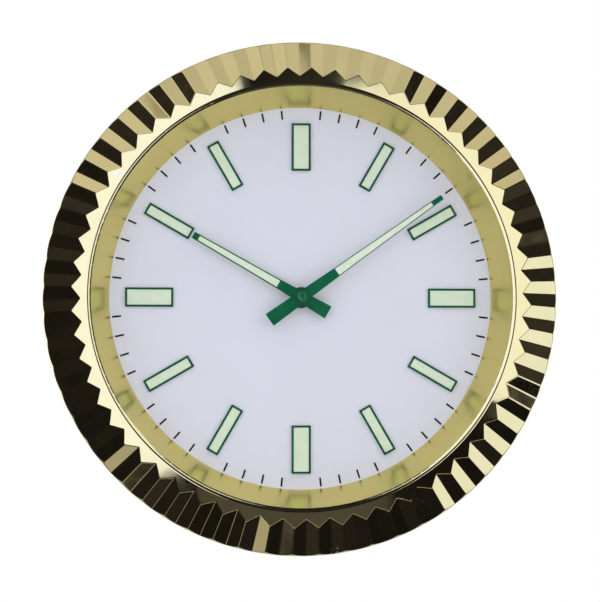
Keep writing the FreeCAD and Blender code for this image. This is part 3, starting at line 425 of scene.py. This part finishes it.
def dialLacquer():
    # pale matt lacquer with a very fine tooth and the faintest clouding
    finish, tree, surface = newFinish("dialLacquer")
    base = placeGroup(tree, tone, {"Colour": rgb((0.785, 0.770, 0.804)), "Drift": 0.014, "Scale": 14.0,
                                   "Roughness": 0.62, "Rough Drift": 0.04})
    flecks = spread(tree, noise(tree, 3200.0, 2.0), 0.35, 0.65, 0.985, 1.012)
    flecked = mixed(tree, 1.0, base["Colour"], grey(tree, flecks), "MULTIPLY")
    used = placeGroup(tree, edgesAndHollows, {"Colour": flecked, "Wear And Highlight": 0.0,
                                   "Hollow Colour": rgb((0.5, 0.5, 0.48)), "Hollow Amount": 0.4})
    normal = texturedNormal(tree, 4200.0, 700.0, 0.7, 0.006)
    shader = put(tree, "ShaderNodeBsdfPrincipled", {
        "Base Color": used["Colour"], "Roughness": base["Roughness"], "Normal": normal,
        "Specular IOR Level": 0.3})
    tree.links.new(shader.outputs[0], surface)
    return finish


def printedInk():
    # screen-printed black, a little thin in places
    finish, tree, surface = newFinish("printedInk")
    base = placeGroup(tree, tone, {"Colour": rgb((0.006, 0.006, 0.010)), "Drift": 0.25, "Scale": 600.0,
                                   "Roughness": 0.5, "Rough Drift": 0.08})
    thin = spread(tree, noise(tree, 5200.0, 3.0), 0.62, 0.80)
    colour = mixed(tree, sums(tree, "MULTIPLY", thin, 0.25), base["Colour"], rgb((0.08, 0.08, 0.10)))
    normal = texturedNormal(tree, 6000.0, 900.0, 0.5, 0.008)
    shader = put(tree, "ShaderNodeBsdfPrincipled", {
        "Base Color": colour, "Roughness": base["Roughness"], "Normal": normal, "Specular IOR Level": 0.15})
    tree.links.new(shader.outputs[0], surface)
    return finish


def clearGlass():
    # float glass with the lightest dust; its shadow lets the light through to the dial
    finish, tree, surface = newFinish("clearGlass")
    dust = spread(tree, noise(tree, 420.0, 6.0, rough=0.75), 0.60, 0.85, 0.004, 0.05)
    normal = bumped(tree, noise(tree, 9.0, 1.0), 0.01, 0.4)
    shader = put(tree, "ShaderNodeBsdfPrincipled", {
        "Base Color": rgb((0.985, 0.995, 0.99)), "Roughness": dust, "Normal": normal, "IOR": 1.46,
        "Transmission Weight": 1.0})
    through = put(tree, "ShaderNodeBsdfTransparent", {"Color": rgb((0.97, 0.98, 0.975))})
    shadow = put(tree, "ShaderNodeLightPath").outputs["Is Shadow Ray"]
    mix = put(tree, "ShaderNodeMixShader", {0: shadow, 1: shader.outputs[0], 2: through.outputs[0]})
    tree.links.new(mix.outputs[0], surface)
    return finish


def cellJacket():
    # printed film in two plain bands, with a seam of darker edge
    finish, tree, surface = newFinish("cellJacket")
    here = put(tree, "ShaderNodeTexCoord").outputs["Object"]
    along = put(tree, "ShaderNodeSeparateXYZ", {0: here}).outputs["X"]
    band = spread(tree, along, 0.0118, 0.0122)
    film = mixed(tree, band, rgb((0.035, 0.075, 0.15)), rgb((0.55, 0.56, 0.57)))
    base = placeGroup(tree, tone, {"Colour": film, "Drift": 0.06, "Scale": 120.0, "Roughness": 0.28,
                                   "Rough Drift": 0.05})
    used = placeGroup(tree, edgesAndHollows,
                      {"Colour": base["Colour"], "Worn And Highlight Colour": rgb((0.6, 0.6, 0.6)), "Wear And Highlight": 0.1,
                       "Hollow Amount": 0.1})
    normal = texturedNormal(tree, 2500.0, 350.0, 0.2, 0.008)
    shader = put(tree, "ShaderNodeBsdfPrincipled", {
        "Base Color": used["Colour"], "Roughness": base["Roughness"], "Normal": normal, "Coat Weight": 0.4})
    tree.links.new(shader.outputs[0], surface)
    return finish


luminous, lacquer, ink = luminousPaint(), dialLacquer(), printedInk()
glass, jacket = clearGlass(), cellJacket()

keptNodes = {
    blackMoulding: ["dial_spacer"], gasketRubber: ["crystal_gasket", "rubber_washer"],
    movementBlack: ["movement_front_case", "movement_rear_case"], coverBlack: ["back_cover"],
    screwSteel: ["back_cover_screws"], zincSteel: ["hanger_plate", "hanger_rivets"],
    plainBrass: ["dial_washer", "hour_hand_bush", "minute_hand_bush", "minute_arbor"],
    statorSteel: ["stator", "coil_core"], copperWire: ["coil_winding"], greenBoard: ["circuit_board"],
    chipResin: ["timing_chip"], groundSteel: ["train_axles"], ferriteGrey: ["rotor_magnet"],
    nickelPlate: ["quartz_can", "battery_contact_plus", "battery_contact_minus", "friction_spring"],
    whiteMoulding: ["coil_bobbin", "motion_wheel", "set_knob", "rotor_pinion", "intermediate_wheel",
                    "seconds_wheel", "third_wheel", "centre_wheel", "hour_wheel"],
    cellCan: ["battery_cell"], jacket: ["battery_sleeve"], blackNut: ["dial_nut"],
    handEnamel: ["hand_nut", "hour_hand", "minute_hand"], luminous: ["hour_hand_lume", "minute_hand_lume"],
    polishedGold: ["bezel"], satinGold: ["rehaut_ring"], lacquer: ["dial_plate"], ink: ["minute_track"],
    glass: ["crystal"], markerEnamel: ["wide_marker_frames", "narrow_marker_frames"],
}
for finish, names in keptNodes.items():
    for name in names:
        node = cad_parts[name]
        node.data.materials.clear()
        node.data.materials.append(finish)
print("finishes ready")


# case front

bezelSizes = {
    "rim": 170.0, "shoulder": 30.3, "rimRound": 7.3, "rear": 1.0, "wall": 3.0,
    "bandStart": 142.6, "bandDepth": 49.84, "bandFall": 0.336, "rollRadius": 3.0,
    "rollCentre": (139.904, 47.576),
    "rollFrom": 118.0, "rollSweep": 46.57,
    "ridgeFall": 0.7, "ridgeStart": 150.7, "valleyStart": 144.5, "flutes": 60, "firstRidge": 2.14,
    "ridgeSoft": 0.19, "zigzagSoft": 0.5, "outerSoft": 0.6,
    "tube": 143.9, "tubeFront": 45.9, "seat": 141.4, "seatRear": 20.0, "seatFront": 48.4, "lip": 137.6,
    "tubeChamfer": 0.3, "lipChamfer": 0.15,
}
postSizes = {"count": 6, "circle": 150.0, "bore": 1.5, "radius": 4.0, "rear": 6.6, "front": 39.5,
             "chamfer": 0.2}


def bandAt(radius):
    s = bezelSizes
    return s["bandDepth"] - s["bandFall"] * (radius - s["bandStart"])


def bezelColumn(offRidge):
    # the case's section at an angle from the nearest ridge, as radius and depth, once round
    s = bezelSizes
    apex = bandAt(s["ridgeStart"]) + s["ridgeFall"] * s["ridgeStart"]
    valleyFall = (apex - bandAt(s["valleyStart"])) / s["valleyStart"]
    half, soft = 180 / s["flutes"], s["ridgeSoft"]
    across = abs(offRidge)
    if across < soft:
        across = soft / 2 + across ** 2 / (2 * soft)
    elif half - across < soft:
        across = half - soft / 2 - (half - across) ** 2 / (2 * soft)
    lean = (valleyFall - s["ridgeFall"] * math.cos(math.radians(half))) / math.sin(math.radians(half))
    fall = s["ridgeFall"] * math.cos(math.radians(across)) + lean * math.sin(math.radians(across))
    start = (apex - bandAt(0)) / (fall - s["bandFall"])  # where the flute leaves the band
    points = []
    rollR, rollD = s["rollCentre"]
    lead = 1.6 * s["zigzagSoft"]  # the plain stretch on either side of the softened corner
    for k in range(11):
        angle = math.radians(s["rollFrom"] - s["rollSweep"] * k / 10)
        points.append((rollR + s["rollRadius"] * math.cos(angle),
                       rollD + s["rollRadius"] * math.sin(angle)))
    points.append((start - lead, bandAt(start - lead)))
    for k in range(-2, 3):
        off = s["zigzagSoft"] * k / 2
        sharp = min(bandAt(start + off), apex - fall * (start + off))
        sag = (fall - s["bandFall"]) * (s["zigzagSoft"] - abs(off)) ** 2 / (4 * s["zigzagSoft"])
        points.append((start + off, sharp - sag))
    points.append((start + lead, apex - fall * (start + lead)))
    # where the flute runs into the rounded outer edge
    centreR, centreD = s["rim"] - s["rimRound"], s["shoulder"]
    gap = apex - centreD - fall * centreR
    a, b, c = 1 + fall ** 2, -2 * gap * fall, gap ** 2 - s["rimRound"] ** 2
    out = (-b + math.sqrt(b * b - 4 * a * c)) / (2 * a)
    edge = Vector((centreR + out, apex - fall * (centreR + out)))
    along = Vector((1, -fall)).normalized()
    at = math.atan2(edge.y - centreD, out)
    reach = min(s["outerSoft"], at * s["rimRound"] * 0.7)
    later = at - reach / s["rimRound"]
    begin = edge - along * reach
    finish = Vector((centreR + s["rimRound"] * math.cos(later), centreD + s["rimRound"] * math.sin(later)))
    middle = (Vector((start, apex - fall * start)) + begin) / 2
    points += [tuple(middle), tuple(begin - along * 0.5)]
    for k in range(5):
        t = k / 4
        points.append(tuple(begin * (1 - t) ** 2 + edge * 2 * t * (1 - t) + finish * t * t))
    for k in range(1, 5):
        angle = later * (1 - k / 4)
        points.append((centreR + s["rimRound"] * math.cos(angle),
                       centreD + s["rimRound"] * math.sin(angle)))
    # down the rim, round its rear edge and up inside the shell
    rim, rear, inner = s["rim"], s["rear"], s["rim"] - s["wall"]
    points += [(rim, 29.6), (rim, 2.4), (rim, 1.7), (rim - 0.2, 1.2), (rim - 0.7, rear)]
    points += [(inner + 0.4, rear), (inner, 1.4), (inner, 29.9)]
    # the tube that seats the glass and dial, and the lip in front of the glass
    tube, seat, foot, chamfer = s["tube"], s["seat"], s["seatRear"], s["tubeChamfer"]
    points += [(tube, s["tubeFront"]), (tube, foot + chamfer), (tube - chamfer, foot)]
    points += [(seat + chamfer, foot), (seat, foot + chamfer), (seat, s["seatFront"])]
    lip, ledge, chamfer = s["lip"], s["seatFront"], s["lipChamfer"]
    points += [(lip + chamfer, ledge), (lip, ledge + chamfer), (lip, 49.5), (lip + 0.1, 49.76)]
    return points


def buildBezel():
    s = bezelSizes
    pitch, soft = 360 / s["flutes"], s["ridgeSoft"]
    side = [soft / 2, soft, 1.8 * soft, pitch / 6, pitch / 3]
    side += [pitch / 2 - 1.8 * soft, pitch / 2 - soft, pitch / 2 - soft / 2]
    steps = [-pitch / 2] + [-a for a in reversed(side)] + [0] + side
    turns, columns = [], []
    for flute in range(s["flutes"]):
        for step in steps:
            turns.append(math.radians(s["firstRidge"] + pitch * flute + step))
            columns.append(bezelColumn(step))
    loops = []
    for k in range(len(columns[0])):
        loops.append([facePoint(column[k][0] * math.sin(turn), column[k][0] * math.cos(turn), column[k][1])
                      for column, turn in zip(columns, turns)])
    bm = bmesh.new()
    skin(bm, loops, wrap=True)
    # posts inside the shell that take the cover's screws
    p = postSizes
    section = [(p["bore"], p["rear"]), (p["radius"] - p["chamfer"], p["rear"]),
               (p["radius"], p["rear"] + p["chamfer"]), (p["radius"], p["front"]), (p["bore"], p["front"])]
    for k in range(p["count"]):
        turn = math.radians(90 + 360 / p["count"] * k)
        lathe(bm, section, (p["circle"] * math.sin(turn), p["circle"] * math.cos(turn)), 32)
    newPiece("flutedBezel", bm, polishedGold, "case", ["bezel"], sharp=30)


buildBezel()

rehautProfile = {
    "corners": [(126.7, 26.0), (126.7, 26.5), (139.0, 45.4), (141.1, 45.4), (141.1, 43.8), (139.75, 43.8),
                (129.14, 27.5), (141.1, 27.5), (141.1, 26.0)],
    "rounds": [0, 0.4, 0.35, 0.1, 0.1, 0.3, 0.3, 0.1, 0.1],
}


def softProfile(profile, steps=3):
    return [tuple(p) for p in filleted(profile["corners"], profile["rounds"], steps)]


def turnedPiece(name, profile, finish, body, node, steps=240, sharp=40):
    bm = bmesh.new()
    lathe(bm, profile, steps=steps)
    newPiece(name, bm, finish, body, [node], sharp)


turnedPiece("innerRing", softProfile(rehautProfile), satinGold, "case", "rehaut_ring", 360)
turnedPiece("dialPlate", softProfile({
    "corners": [(4.1, 24.0), (4.1, 26.0), (141.1, 26.0), (141.1, 24.0)], "rounds": [0.1, 0.2, 0.2, 0.1]}),
    lacquer, "case", "dial_plate", 360)
turnedPiece("glassGasket", softProfile({
    "corners": [(138.9, 45.4), (138.9, 46.0), (141.1, 46.0), (141.1, 45.4)], "rounds": 0.2}),
    gasketRubber, "case", "crystal_gasket", 240)


glassSizes = {"outer": 141.1, "rear": 46.0, "front": 48.4, "chamfer": 0.35}


def buildGlass():
    s = glassSizes
    levels = [(s["outer"] - s["chamfer"], s["rear"]), (s["outer"], s["rear"] + s["chamfer"]),
              (s["outer"], s["front"] - s["chamfer"]), (s["outer"] - s["chamfer"], s["front"])]
    turns = [2 * math.pi * k / 240 for k in range(240)]
    bm = bmesh.new()
    skin(bm, [[facePoint(radius * math.sin(t), radius * math.cos(t), depth) for t in turns]
              for radius, depth in levels])
    newPiece("frontGlass", bm, glass, "case", ["crystal"], sharp=20)


buildGlass()
print("case front ready")


# dial furniture

dialSizes = {
    "front": 26.0, "tickInner": 119.3, "tickOuter": 125.4, "tickHalf": 0.61, "ink": 0.12,
    "border": 1.3, "height": 1.6, "fill": 1.3, "corner": 0.35, "edge": 0.22,
    "wide": (12.7, 84.5, 116.2, (0, 3, 6, 9)), "narrow": (8.6, 83.9, 117.9, (1, 2, 4, 5, 7, 8, 10, 11)),
}


def oblong(half, low, high):
    return [(-half, low), (half, low), (half, high), (-half, high)]


def buildTicks():
    s = dialSizes
    bm = bmesh.new()
    for minute in range(60):
        if minute % 5:
            outline = filleted(oblong(s["tickHalf"], s["tickInner"], s["tickOuter"]), 0.3, 4)
            slab(bm, outline, s["front"], s["front"] + s["ink"], 0.05, 6 * minute, 2)
    newPiece("minuteTicks", bm, ink, "case", ["minute_track"])


def buildMarkers(kind):
    s = dialSizes
    width, low, high, hours = s[kind]
    frames, fills = bmesh.new(), bmesh.new()
    b = s["border"]
    for hour in hours:
        outer = filleted(oblong(width / 2, low, high), s["corner"], 4)
        window = filleted(oblong(width / 2 - b, low + b, high - b), s["corner"], 4)
        windowed(frames, outer, window, s["front"], s["front"] + s["height"], s["edge"], 30 * hour)
        # the fill rises from its frame in a soft shoulder and dips a little in the middle
        top = s["front"] + s["fill"]
        levels = [(0.0, s["front"]), (0.0, top - 0.42), (0.05, top - 0.22), (0.17, top - 0.06), (0.34, top),
                  (0.7, top), (1.6, top - 0.05)]
        loops = []
        for shift, depth in levels:
            corners = oblong(width / 2 - b - shift, low + b + shift, high - b - shift)
            shape = filleted(corners, max(s["corner"] - shift, 0.05), 4)
            loops.append([facePoint(p.x, p.y, depth, 30 * hour) for p in shape])
        skin(fills, loops)
    newPiece(kind + "MarkerFrames", frames, markerEnamel, "case", [kind + "_marker_frames"])
    newPiece(kind + "MarkerLume", fills, luminous, "case", [kind + "_marker_lume"])


buildTicks()
buildMarkers("wide")
buildMarkers("narrow")
print("dial furniture ready")


# hands

handSizes = {
    "thickness": 1.0, "edge": 0.16, "straight": 2.0,
    "hour": {"tail": 20.2, "tailHalf": 4.55, "slotStart": 17.7, "slotHalf": 3.15, "slotEnd": 78.2,
             "tip": 82.4,
             "tipHalf": 2.25, "border": 0.8, "rear": 31.2, "angle": 299.8, "body": "hour_hands"},
    "minute": {"tail": 26.3, "tailHalf": 4.7, "slotStart": 28.4, "slotHalf": 3.15, "slotEnd": 106.3,
               "tip": 114.5,
               "tipHalf": 1.7, "border": 0.55, "rear": 35.4, "angle": 54.4, "body": "minute_hands"},
}


def buildHand(kind):
    s = {**handSizes, **handSizes[kind]}
    rear, front = s["rear"], s["rear"] + s["thickness"]
    low, high = s["slotStart"], s["slotEnd"]
    endHalf = s["slotHalf"] + (s["tipHalf"] - s["slotHalf"]) * (high - low) / (s["tip"] - low) - s["border"]
    startHalf = s["slotHalf"] - s["border"]
    outer = filleted([(-s["tailHalf"], -s["tail"]), (s["tailHalf"], -s["tail"]), (s["slotHalf"], low),
                      (s["tipHalf"], s["tip"]), (-s["tipHalf"], s["tip"]), (-s["slotHalf"], low)],
                     [0.35, 0.35, 2.0, 0.4, 0.4, 2.0], 4)
    lean = (startHalf - endHalf) / (high - low)
    sideHalf, sideStart = startHalf - s["straight"] * lean, low + s["straight"]
    window = filleted([(-startHalf, low), (startHalf, low), (sideHalf, sideStart),
                       (endHalf, high), (-endHalf, high), (-sideHalf, sideStart)],
                      [0.25, 0.25, 0, 0.5, 0.5, 0], 4)
    # the two plain points on the slot's sides stand for a whole arc on the outside
    full = []
    for p in window:
        if abs(p.y - sideStart) < 0.001:
            step = -0.02 if p.x < 0 else 0.02
            full += [p + Vector((0, step * k)) for k in range(5)]
        else:
            full.append(p)
    bm = bmesh.new()
    windowed(bm, outer, full, rear, front, s["edge"], s["angle"])
    newPiece(kind + "Hand", bm, handEnamel, s["body"], [kind + "_hand"])
    bm = bmesh.new()
    strip = filleted([(-startHalf, low), (startHalf, low), (endHalf, high), (-endHalf, high)],
                     [0.25, 0.25, 0.5, 0.5], 5)
    levels = [(0.0, rear + 0.1), (0.0, front - 0.24), (0.06, front - 0.15), (0.2, front - 0.1)]
    skin(bm,
         [[facePoint(p.x, p.y, depth, s["angle"]) for p in inset(strip, shift)] for shift, depth in levels])
    newPiece(kind + "HandLume", bm, luminous, s["body"], [kind + "_hand_lume"])


buildHand("hour")
buildHand("minute")


# radius and depth: the hole, the wall with its turned groove, then the dome
handNutProfile = [
    (0, 38.8), (1.2, 38.8), (1.2, 36.4),
    (3.15, 36.4), (3.4, 36.6), (3.4, 38.2), (3.25, 38.35), (3.25, 38.6), (3.4, 38.75),
    (3.38, 39.1), (3.2, 39.45), (2.8, 39.75), (2.0, 40.02), (1.0, 40.17), (0, 40.2),
]
dialNutSizes = {
    "profile": [(4.0, 26.4), (6.6, 26.4), (7.0, 26.8), (7.0, 28.3), (6.6, 28.75), (5.0, 28.8), (4.0, 28.8)],
    "knurlDepth": 0.1, "knurledFrom": 6.9, "points": 192,
}


def buildHandNut():
    bm = bmesh.new()
    lathe(bm, handNutProfile, steps=64, wrap=False)
    newPiece("handNut", bm, handEnamel, "minute_hands", ["hand_nut"])


def buildDialNut():
    # a round nut with a knurled edge
    s = dialNutSizes
    bm = bmesh.new()
    loops = []
    for radius, depth in s["profile"]:
        loop = []
        for k in range(s["points"]):
            raised = radius > s["knurledFrom"] and k % 4 in (1, 2)
            reach = radius + (s["knurlDepth"] if raised else 0.0)
            turn = 2 * math.pi * k / s["points"]
            loop.append(facePoint(reach * math.sin(turn), reach * math.cos(turn), depth))
        loops.append(loop)
    skin(bm, loops, wrap=True)
    newPiece("dialNut", bm, blackNut, "case", ["dial_nut"], sharp=25)


buildHandNut()
buildDialNut()
print("hands ready")


# back of the case

coverSizes = {"panel": 4.5, "rise": 0.55, "innerRing": 60.0, "outerRing": 96.0, "ringWidth": 1.6,
              "ribs": 12,
              "ribHalf": 0.9, "sunk": 0.5, "edge": 0.1}


def coverRibs(bm):
    # rings and ribs moulded on the cover's outside
    s = coverSizes
    rear, front = s["panel"] - s["rise"], s["panel"] + s["sunk"]
    for radius in (s["innerRing"], s["outerRing"]):
        outer = radius + s["ringWidth"]
        lathe(bm, [(radius, rear), (outer, rear), (outer, front), (radius, front)])
    middle = s["ringWidth"] / 2
    rib = [Vector(p) for p in oblong(s["ribHalf"], s["innerRing"] + middle, s["outerRing"] + middle)]
    for k in range(s["ribs"]):
        slab(bm, rib, rear + 0.1, front, s["edge"], 360 * (k + 0.5) / s["ribs"])


softenedCopy("rearCover", "back_cover", coverBlack, "case", 0.3, coverRibs)
softenedCopy("coverScrews", "back_cover_screws", screwSteel, "case", 0.12)
softenedCopy("hangerRivets", "hanger_rivets", zincSteel, "case", 0.15)
softenedCopy("hangerPlate", "hanger_plate", zincSteel, "case", 0.25)
softenedCopy("movementRear", "movement_rear_case", movementBlack, "case", 0.25)
softenedCopy("settingKnob", "set_knob", whiteMoulding, "knob", 0.08)

cellSizes = {"height": -19.45, "depth": 14.1, "half": 25.25, "can": 6.95, "jacket": 7.1, "cap": 2.7,
             "capLength": 1.2}


def alongCell(bm):
    # lays a shape turned about the clock's axis along the cell's own axis
    s = cellSizes
    bmesh.ops.rotate(bm, verts=bm.verts, cent=(0, 0, 0), matrix=Matrix.Rotation(math.radians(90), 3, "Z"))
    bmesh.ops.translate(bm, verts=bm.verts, vec=facePoint(0, s["height"], s["depth"]))


def buildCell():
    s = cellSizes
    end, top = s["half"], s["half"] - s["capLength"]
    can = filleted([(0.0, -end), (s["can"], -end), (s["can"], top), (s["cap"], top - 0.35),
                    (s["cap"], end), (0.0, end)], [0, 0.7, 0.9, 0.3, 0.35, 0], 6)
    bm = bmesh.new()
    lathe(bm, [tuple(p) for p in can], steps=96, wrap=False)
    alongCell(bm)
    newPiece("cellCan", bm, cellCan, "battery", ["battery_cell"])
    start, stop = 0.8 - end, top - 0.4
    sleeve = filleted([(s["can"], start), (s["jacket"], start), (s["jacket"], stop), (s["can"], stop)],
                      0.06, 3)
    bm = bmesh.new()
    lathe(bm, [tuple(p) for p in sleeve], steps=96)
    alongCell(bm)
    newPiece("cellSleeve", bm, jacket, "battery", ["battery_sleeve"])


buildCell()
print("back ready")


# floor, lights and camera

stageSizes = {
    "floorDrop": 1.0, "floorHalf": 4.0,
    "aim": (-1.01, -2.42, 31.0), "azimuth": -3.7, "elevation": -3.3, "distance": 1250.0, "lens": 113.2,
}
frontBoxes = {
    # place, width and height in metres, brightness and tint; all face the clock squarely
    "rightFront": ((1.53, -2.0, 0.70), (1.94, 3.0), 1.13, (1.0, 1.06, 1.27)),
    "leftFront": ((-1.45, -2.0, 0.41), (2.1, 3.58), 1.20, (1.0, 1.09, 1.5)),
    "lowFront": ((0.1, -2.0, -1.65), (1.7, 1.3), 0.06, (1.0, 1.0, 1.0)),
}
sidePanels = {
    # span round the clock from twelve, span off its axis, distance in metres, brightness, any tint
    "overheadLeft": ((-41, -14), (60, 94), 6.0, 0.70),
    "overheadMiddle": ((-14, 12), (60, 94), 6.0, 0.60),
    "overheadRight": ((12, 44), (60, 94), 6.0, 0.66),
    "lowerRight": ((92.5, 123.5), (62, 90), 6.0, 1.03, (1.0, 1.08, 1.33)),
    "lowerLeft": ((202, 210), (64, 84), 6.0, 0.45),
    "edgesLowRight": ((132, 166), (65, 71), 6.0, 0.9),
    "edgesLow": ((166, 200), (65, 71), 6.0, 0.9),
    "rearLeft": ((250, 300), (125, 165), 2.6, 1.0),
    "rearRight": ((50, 110), (125, 160), 2.6, 0.7),
}


def buildFloor():
    s = stageSizes
    bm = bmesh.new()
    half, z = s["floorHalf"], -s["floorDrop"]
    bm.faces.new([bm.verts.new((x * half, y * half, z)) for x, y in ((-1, -1), (1, -1), (1, 1), (-1, 1))])
    mesh = bpy.data.meshes.new("paleFloor")
    bm.to_mesh(mesh)
    bm.free()
    floor = bpy.data.objects.new("paleFloor", mesh)
    bpy.context.scene.collection.objects.link(floor)
    mesh.materials.append(solidFinish("palePaper", (0.86, 0.86, 0.86), 0.8, drift=0.01, scale=2.0,
                                      bump=0.05,
                                      texture=(900.0, 30.0, 0.5),
                                      **{"Emission Color": rgb((1.0, 1.0, 1.0)),
                                         "Emission Strength": 0.32}))
    floor.visible_glossy = False


def addPanel(name, place, turn, size, brightness, tint=(1.0, 0.985, 0.96)):
    light = bpy.data.lights.new(name, "AREA")
    light.shape = "RECTANGLE"
    light.size, light.size_y = size
    light.energy = math.pi * size[0] * size[1] * brightness
    light.color = tint
    lamp = bpy.data.objects.new(name, light)
    bpy.context.scene.collection.objects.link(lamp)
    lamp.location = place
    lamp.rotation_euler = turn
    lamp.visible_camera = False


def buildLights():
    for name, (place, size, brightness, tint) in frontBoxes.items():
        addPanel(name, place, (math.pi / 2, 0, 0), size, brightness, tint)
    for name, (around, off, distance, brightness, *tint) in sidePanels.items():
        turn, tilt = math.radians(sum(around) / 2), math.radians(sum(off) / 2)
        outward = Vector((math.sin(tilt) * math.sin(turn), -math.cos(tilt),
                          math.sin(tilt) * math.cos(turn)))
        across = Vector((math.cos(turn), 0, -math.sin(turn)))
        axes = Matrix((across, outward.cross(across), outward)).transposed()
        wide = 2 * distance * math.sin(tilt) * math.tan(math.radians(around[1] - around[0]) / 2)
        tall = 2 * distance * math.tan(math.radians(off[1] - off[0]) / 2)
        addPanel(name, outward * distance, axes.to_euler(), (wide, tall), brightness, *tint)


def buildWorld():
    # the paper behind is white to the eye, the studio itself is dim in reflections
    world = bpy.data.worlds.new("studio")
    bpy.context.scene.world = world
    world.use_nodes = True
    tree = world.node_tree
    tree.nodes.clear()
    paths = put(tree, "ShaderNodeLightPath").outputs
    bounced = sums(tree, "MINIMUM", sums(tree, "ADD", paths["Diffuse Depth"], paths["Glossy Depth"]), 1.0)
    direct = sums(tree, "SUBTRACT", 1.0, bounced)
    lit = sums(tree, "MINIMUM", paths["Diffuse Depth"], 1.0)
    way = put(tree, "ShaderNodeTexCoord").outputs["Generated"]
    patches = spread(tree, noise(tree, 1.7, 3.0, way), 0.42, 0.72)
    gloom = mixed(tree, patches, (0.009, 0.008, 0.010, 1), (0.042, 0.038, 0.040, 1))
    back = spread(tree, put(tree, "ShaderNodeSeparateXYZ", {0: way}).outputs["Y"], 0.08, 0.30)
    gloom = mixed(tree, back, gloom, (0.55, 0.55, 0.54, 1))
    white = put(tree, "ShaderNodeBackground", {"Color": (1, 1, 1, 1), "Strength": 1.0})
    dim = put(tree, "ShaderNodeBackground", {"Color": gloom, "Strength": 1.0})
    soft = put(tree, "ShaderNodeBackground", {"Color": (1.0, 0.985, 0.93, 1), "Strength": 0.63})
    room = put(tree, "ShaderNodeMixShader", {0: lit, 1: dim.outputs[0], 2: soft.outputs[0]})
    sky = put(tree, "ShaderNodeMixShader", {0: direct, 1: room.outputs[0], 2: white.outputs[0]})
    put(tree, "ShaderNodeOutputWorld", {"Surface": sky.outputs[0]})


def buildCamera():
    s = stageSizes
    data = bpy.data.cameras.new("frontCamera")
    data.lens = s["lens"]
    data.sensor_width = 36.0
    data.clip_start, data.clip_end = 0.01, 50.0
    camera = bpy.data.objects.new("frontCamera", data)
    bpy.context.scene.collection.objects.link(camera)
    around, up = math.radians(s["azimuth"]), math.radians(s["elevation"])
    away = Vector((math.sin(around) * math.cos(up), -math.cos(around) * math.cos(up), math.sin(up)))
    camera.location = facePoint(*s["aim"]) + away * s["distance"] * mm
    camera.rotation_euler = (-away).to_track_quat("-Z", "Y").to_euler()
    bpy.context.scene.camera = camera


buildFloor()
buildLights()
buildWorld()
buildCamera()
bpy.context.scene.view_settings.view_transform = "Standard"
print("stage ready")
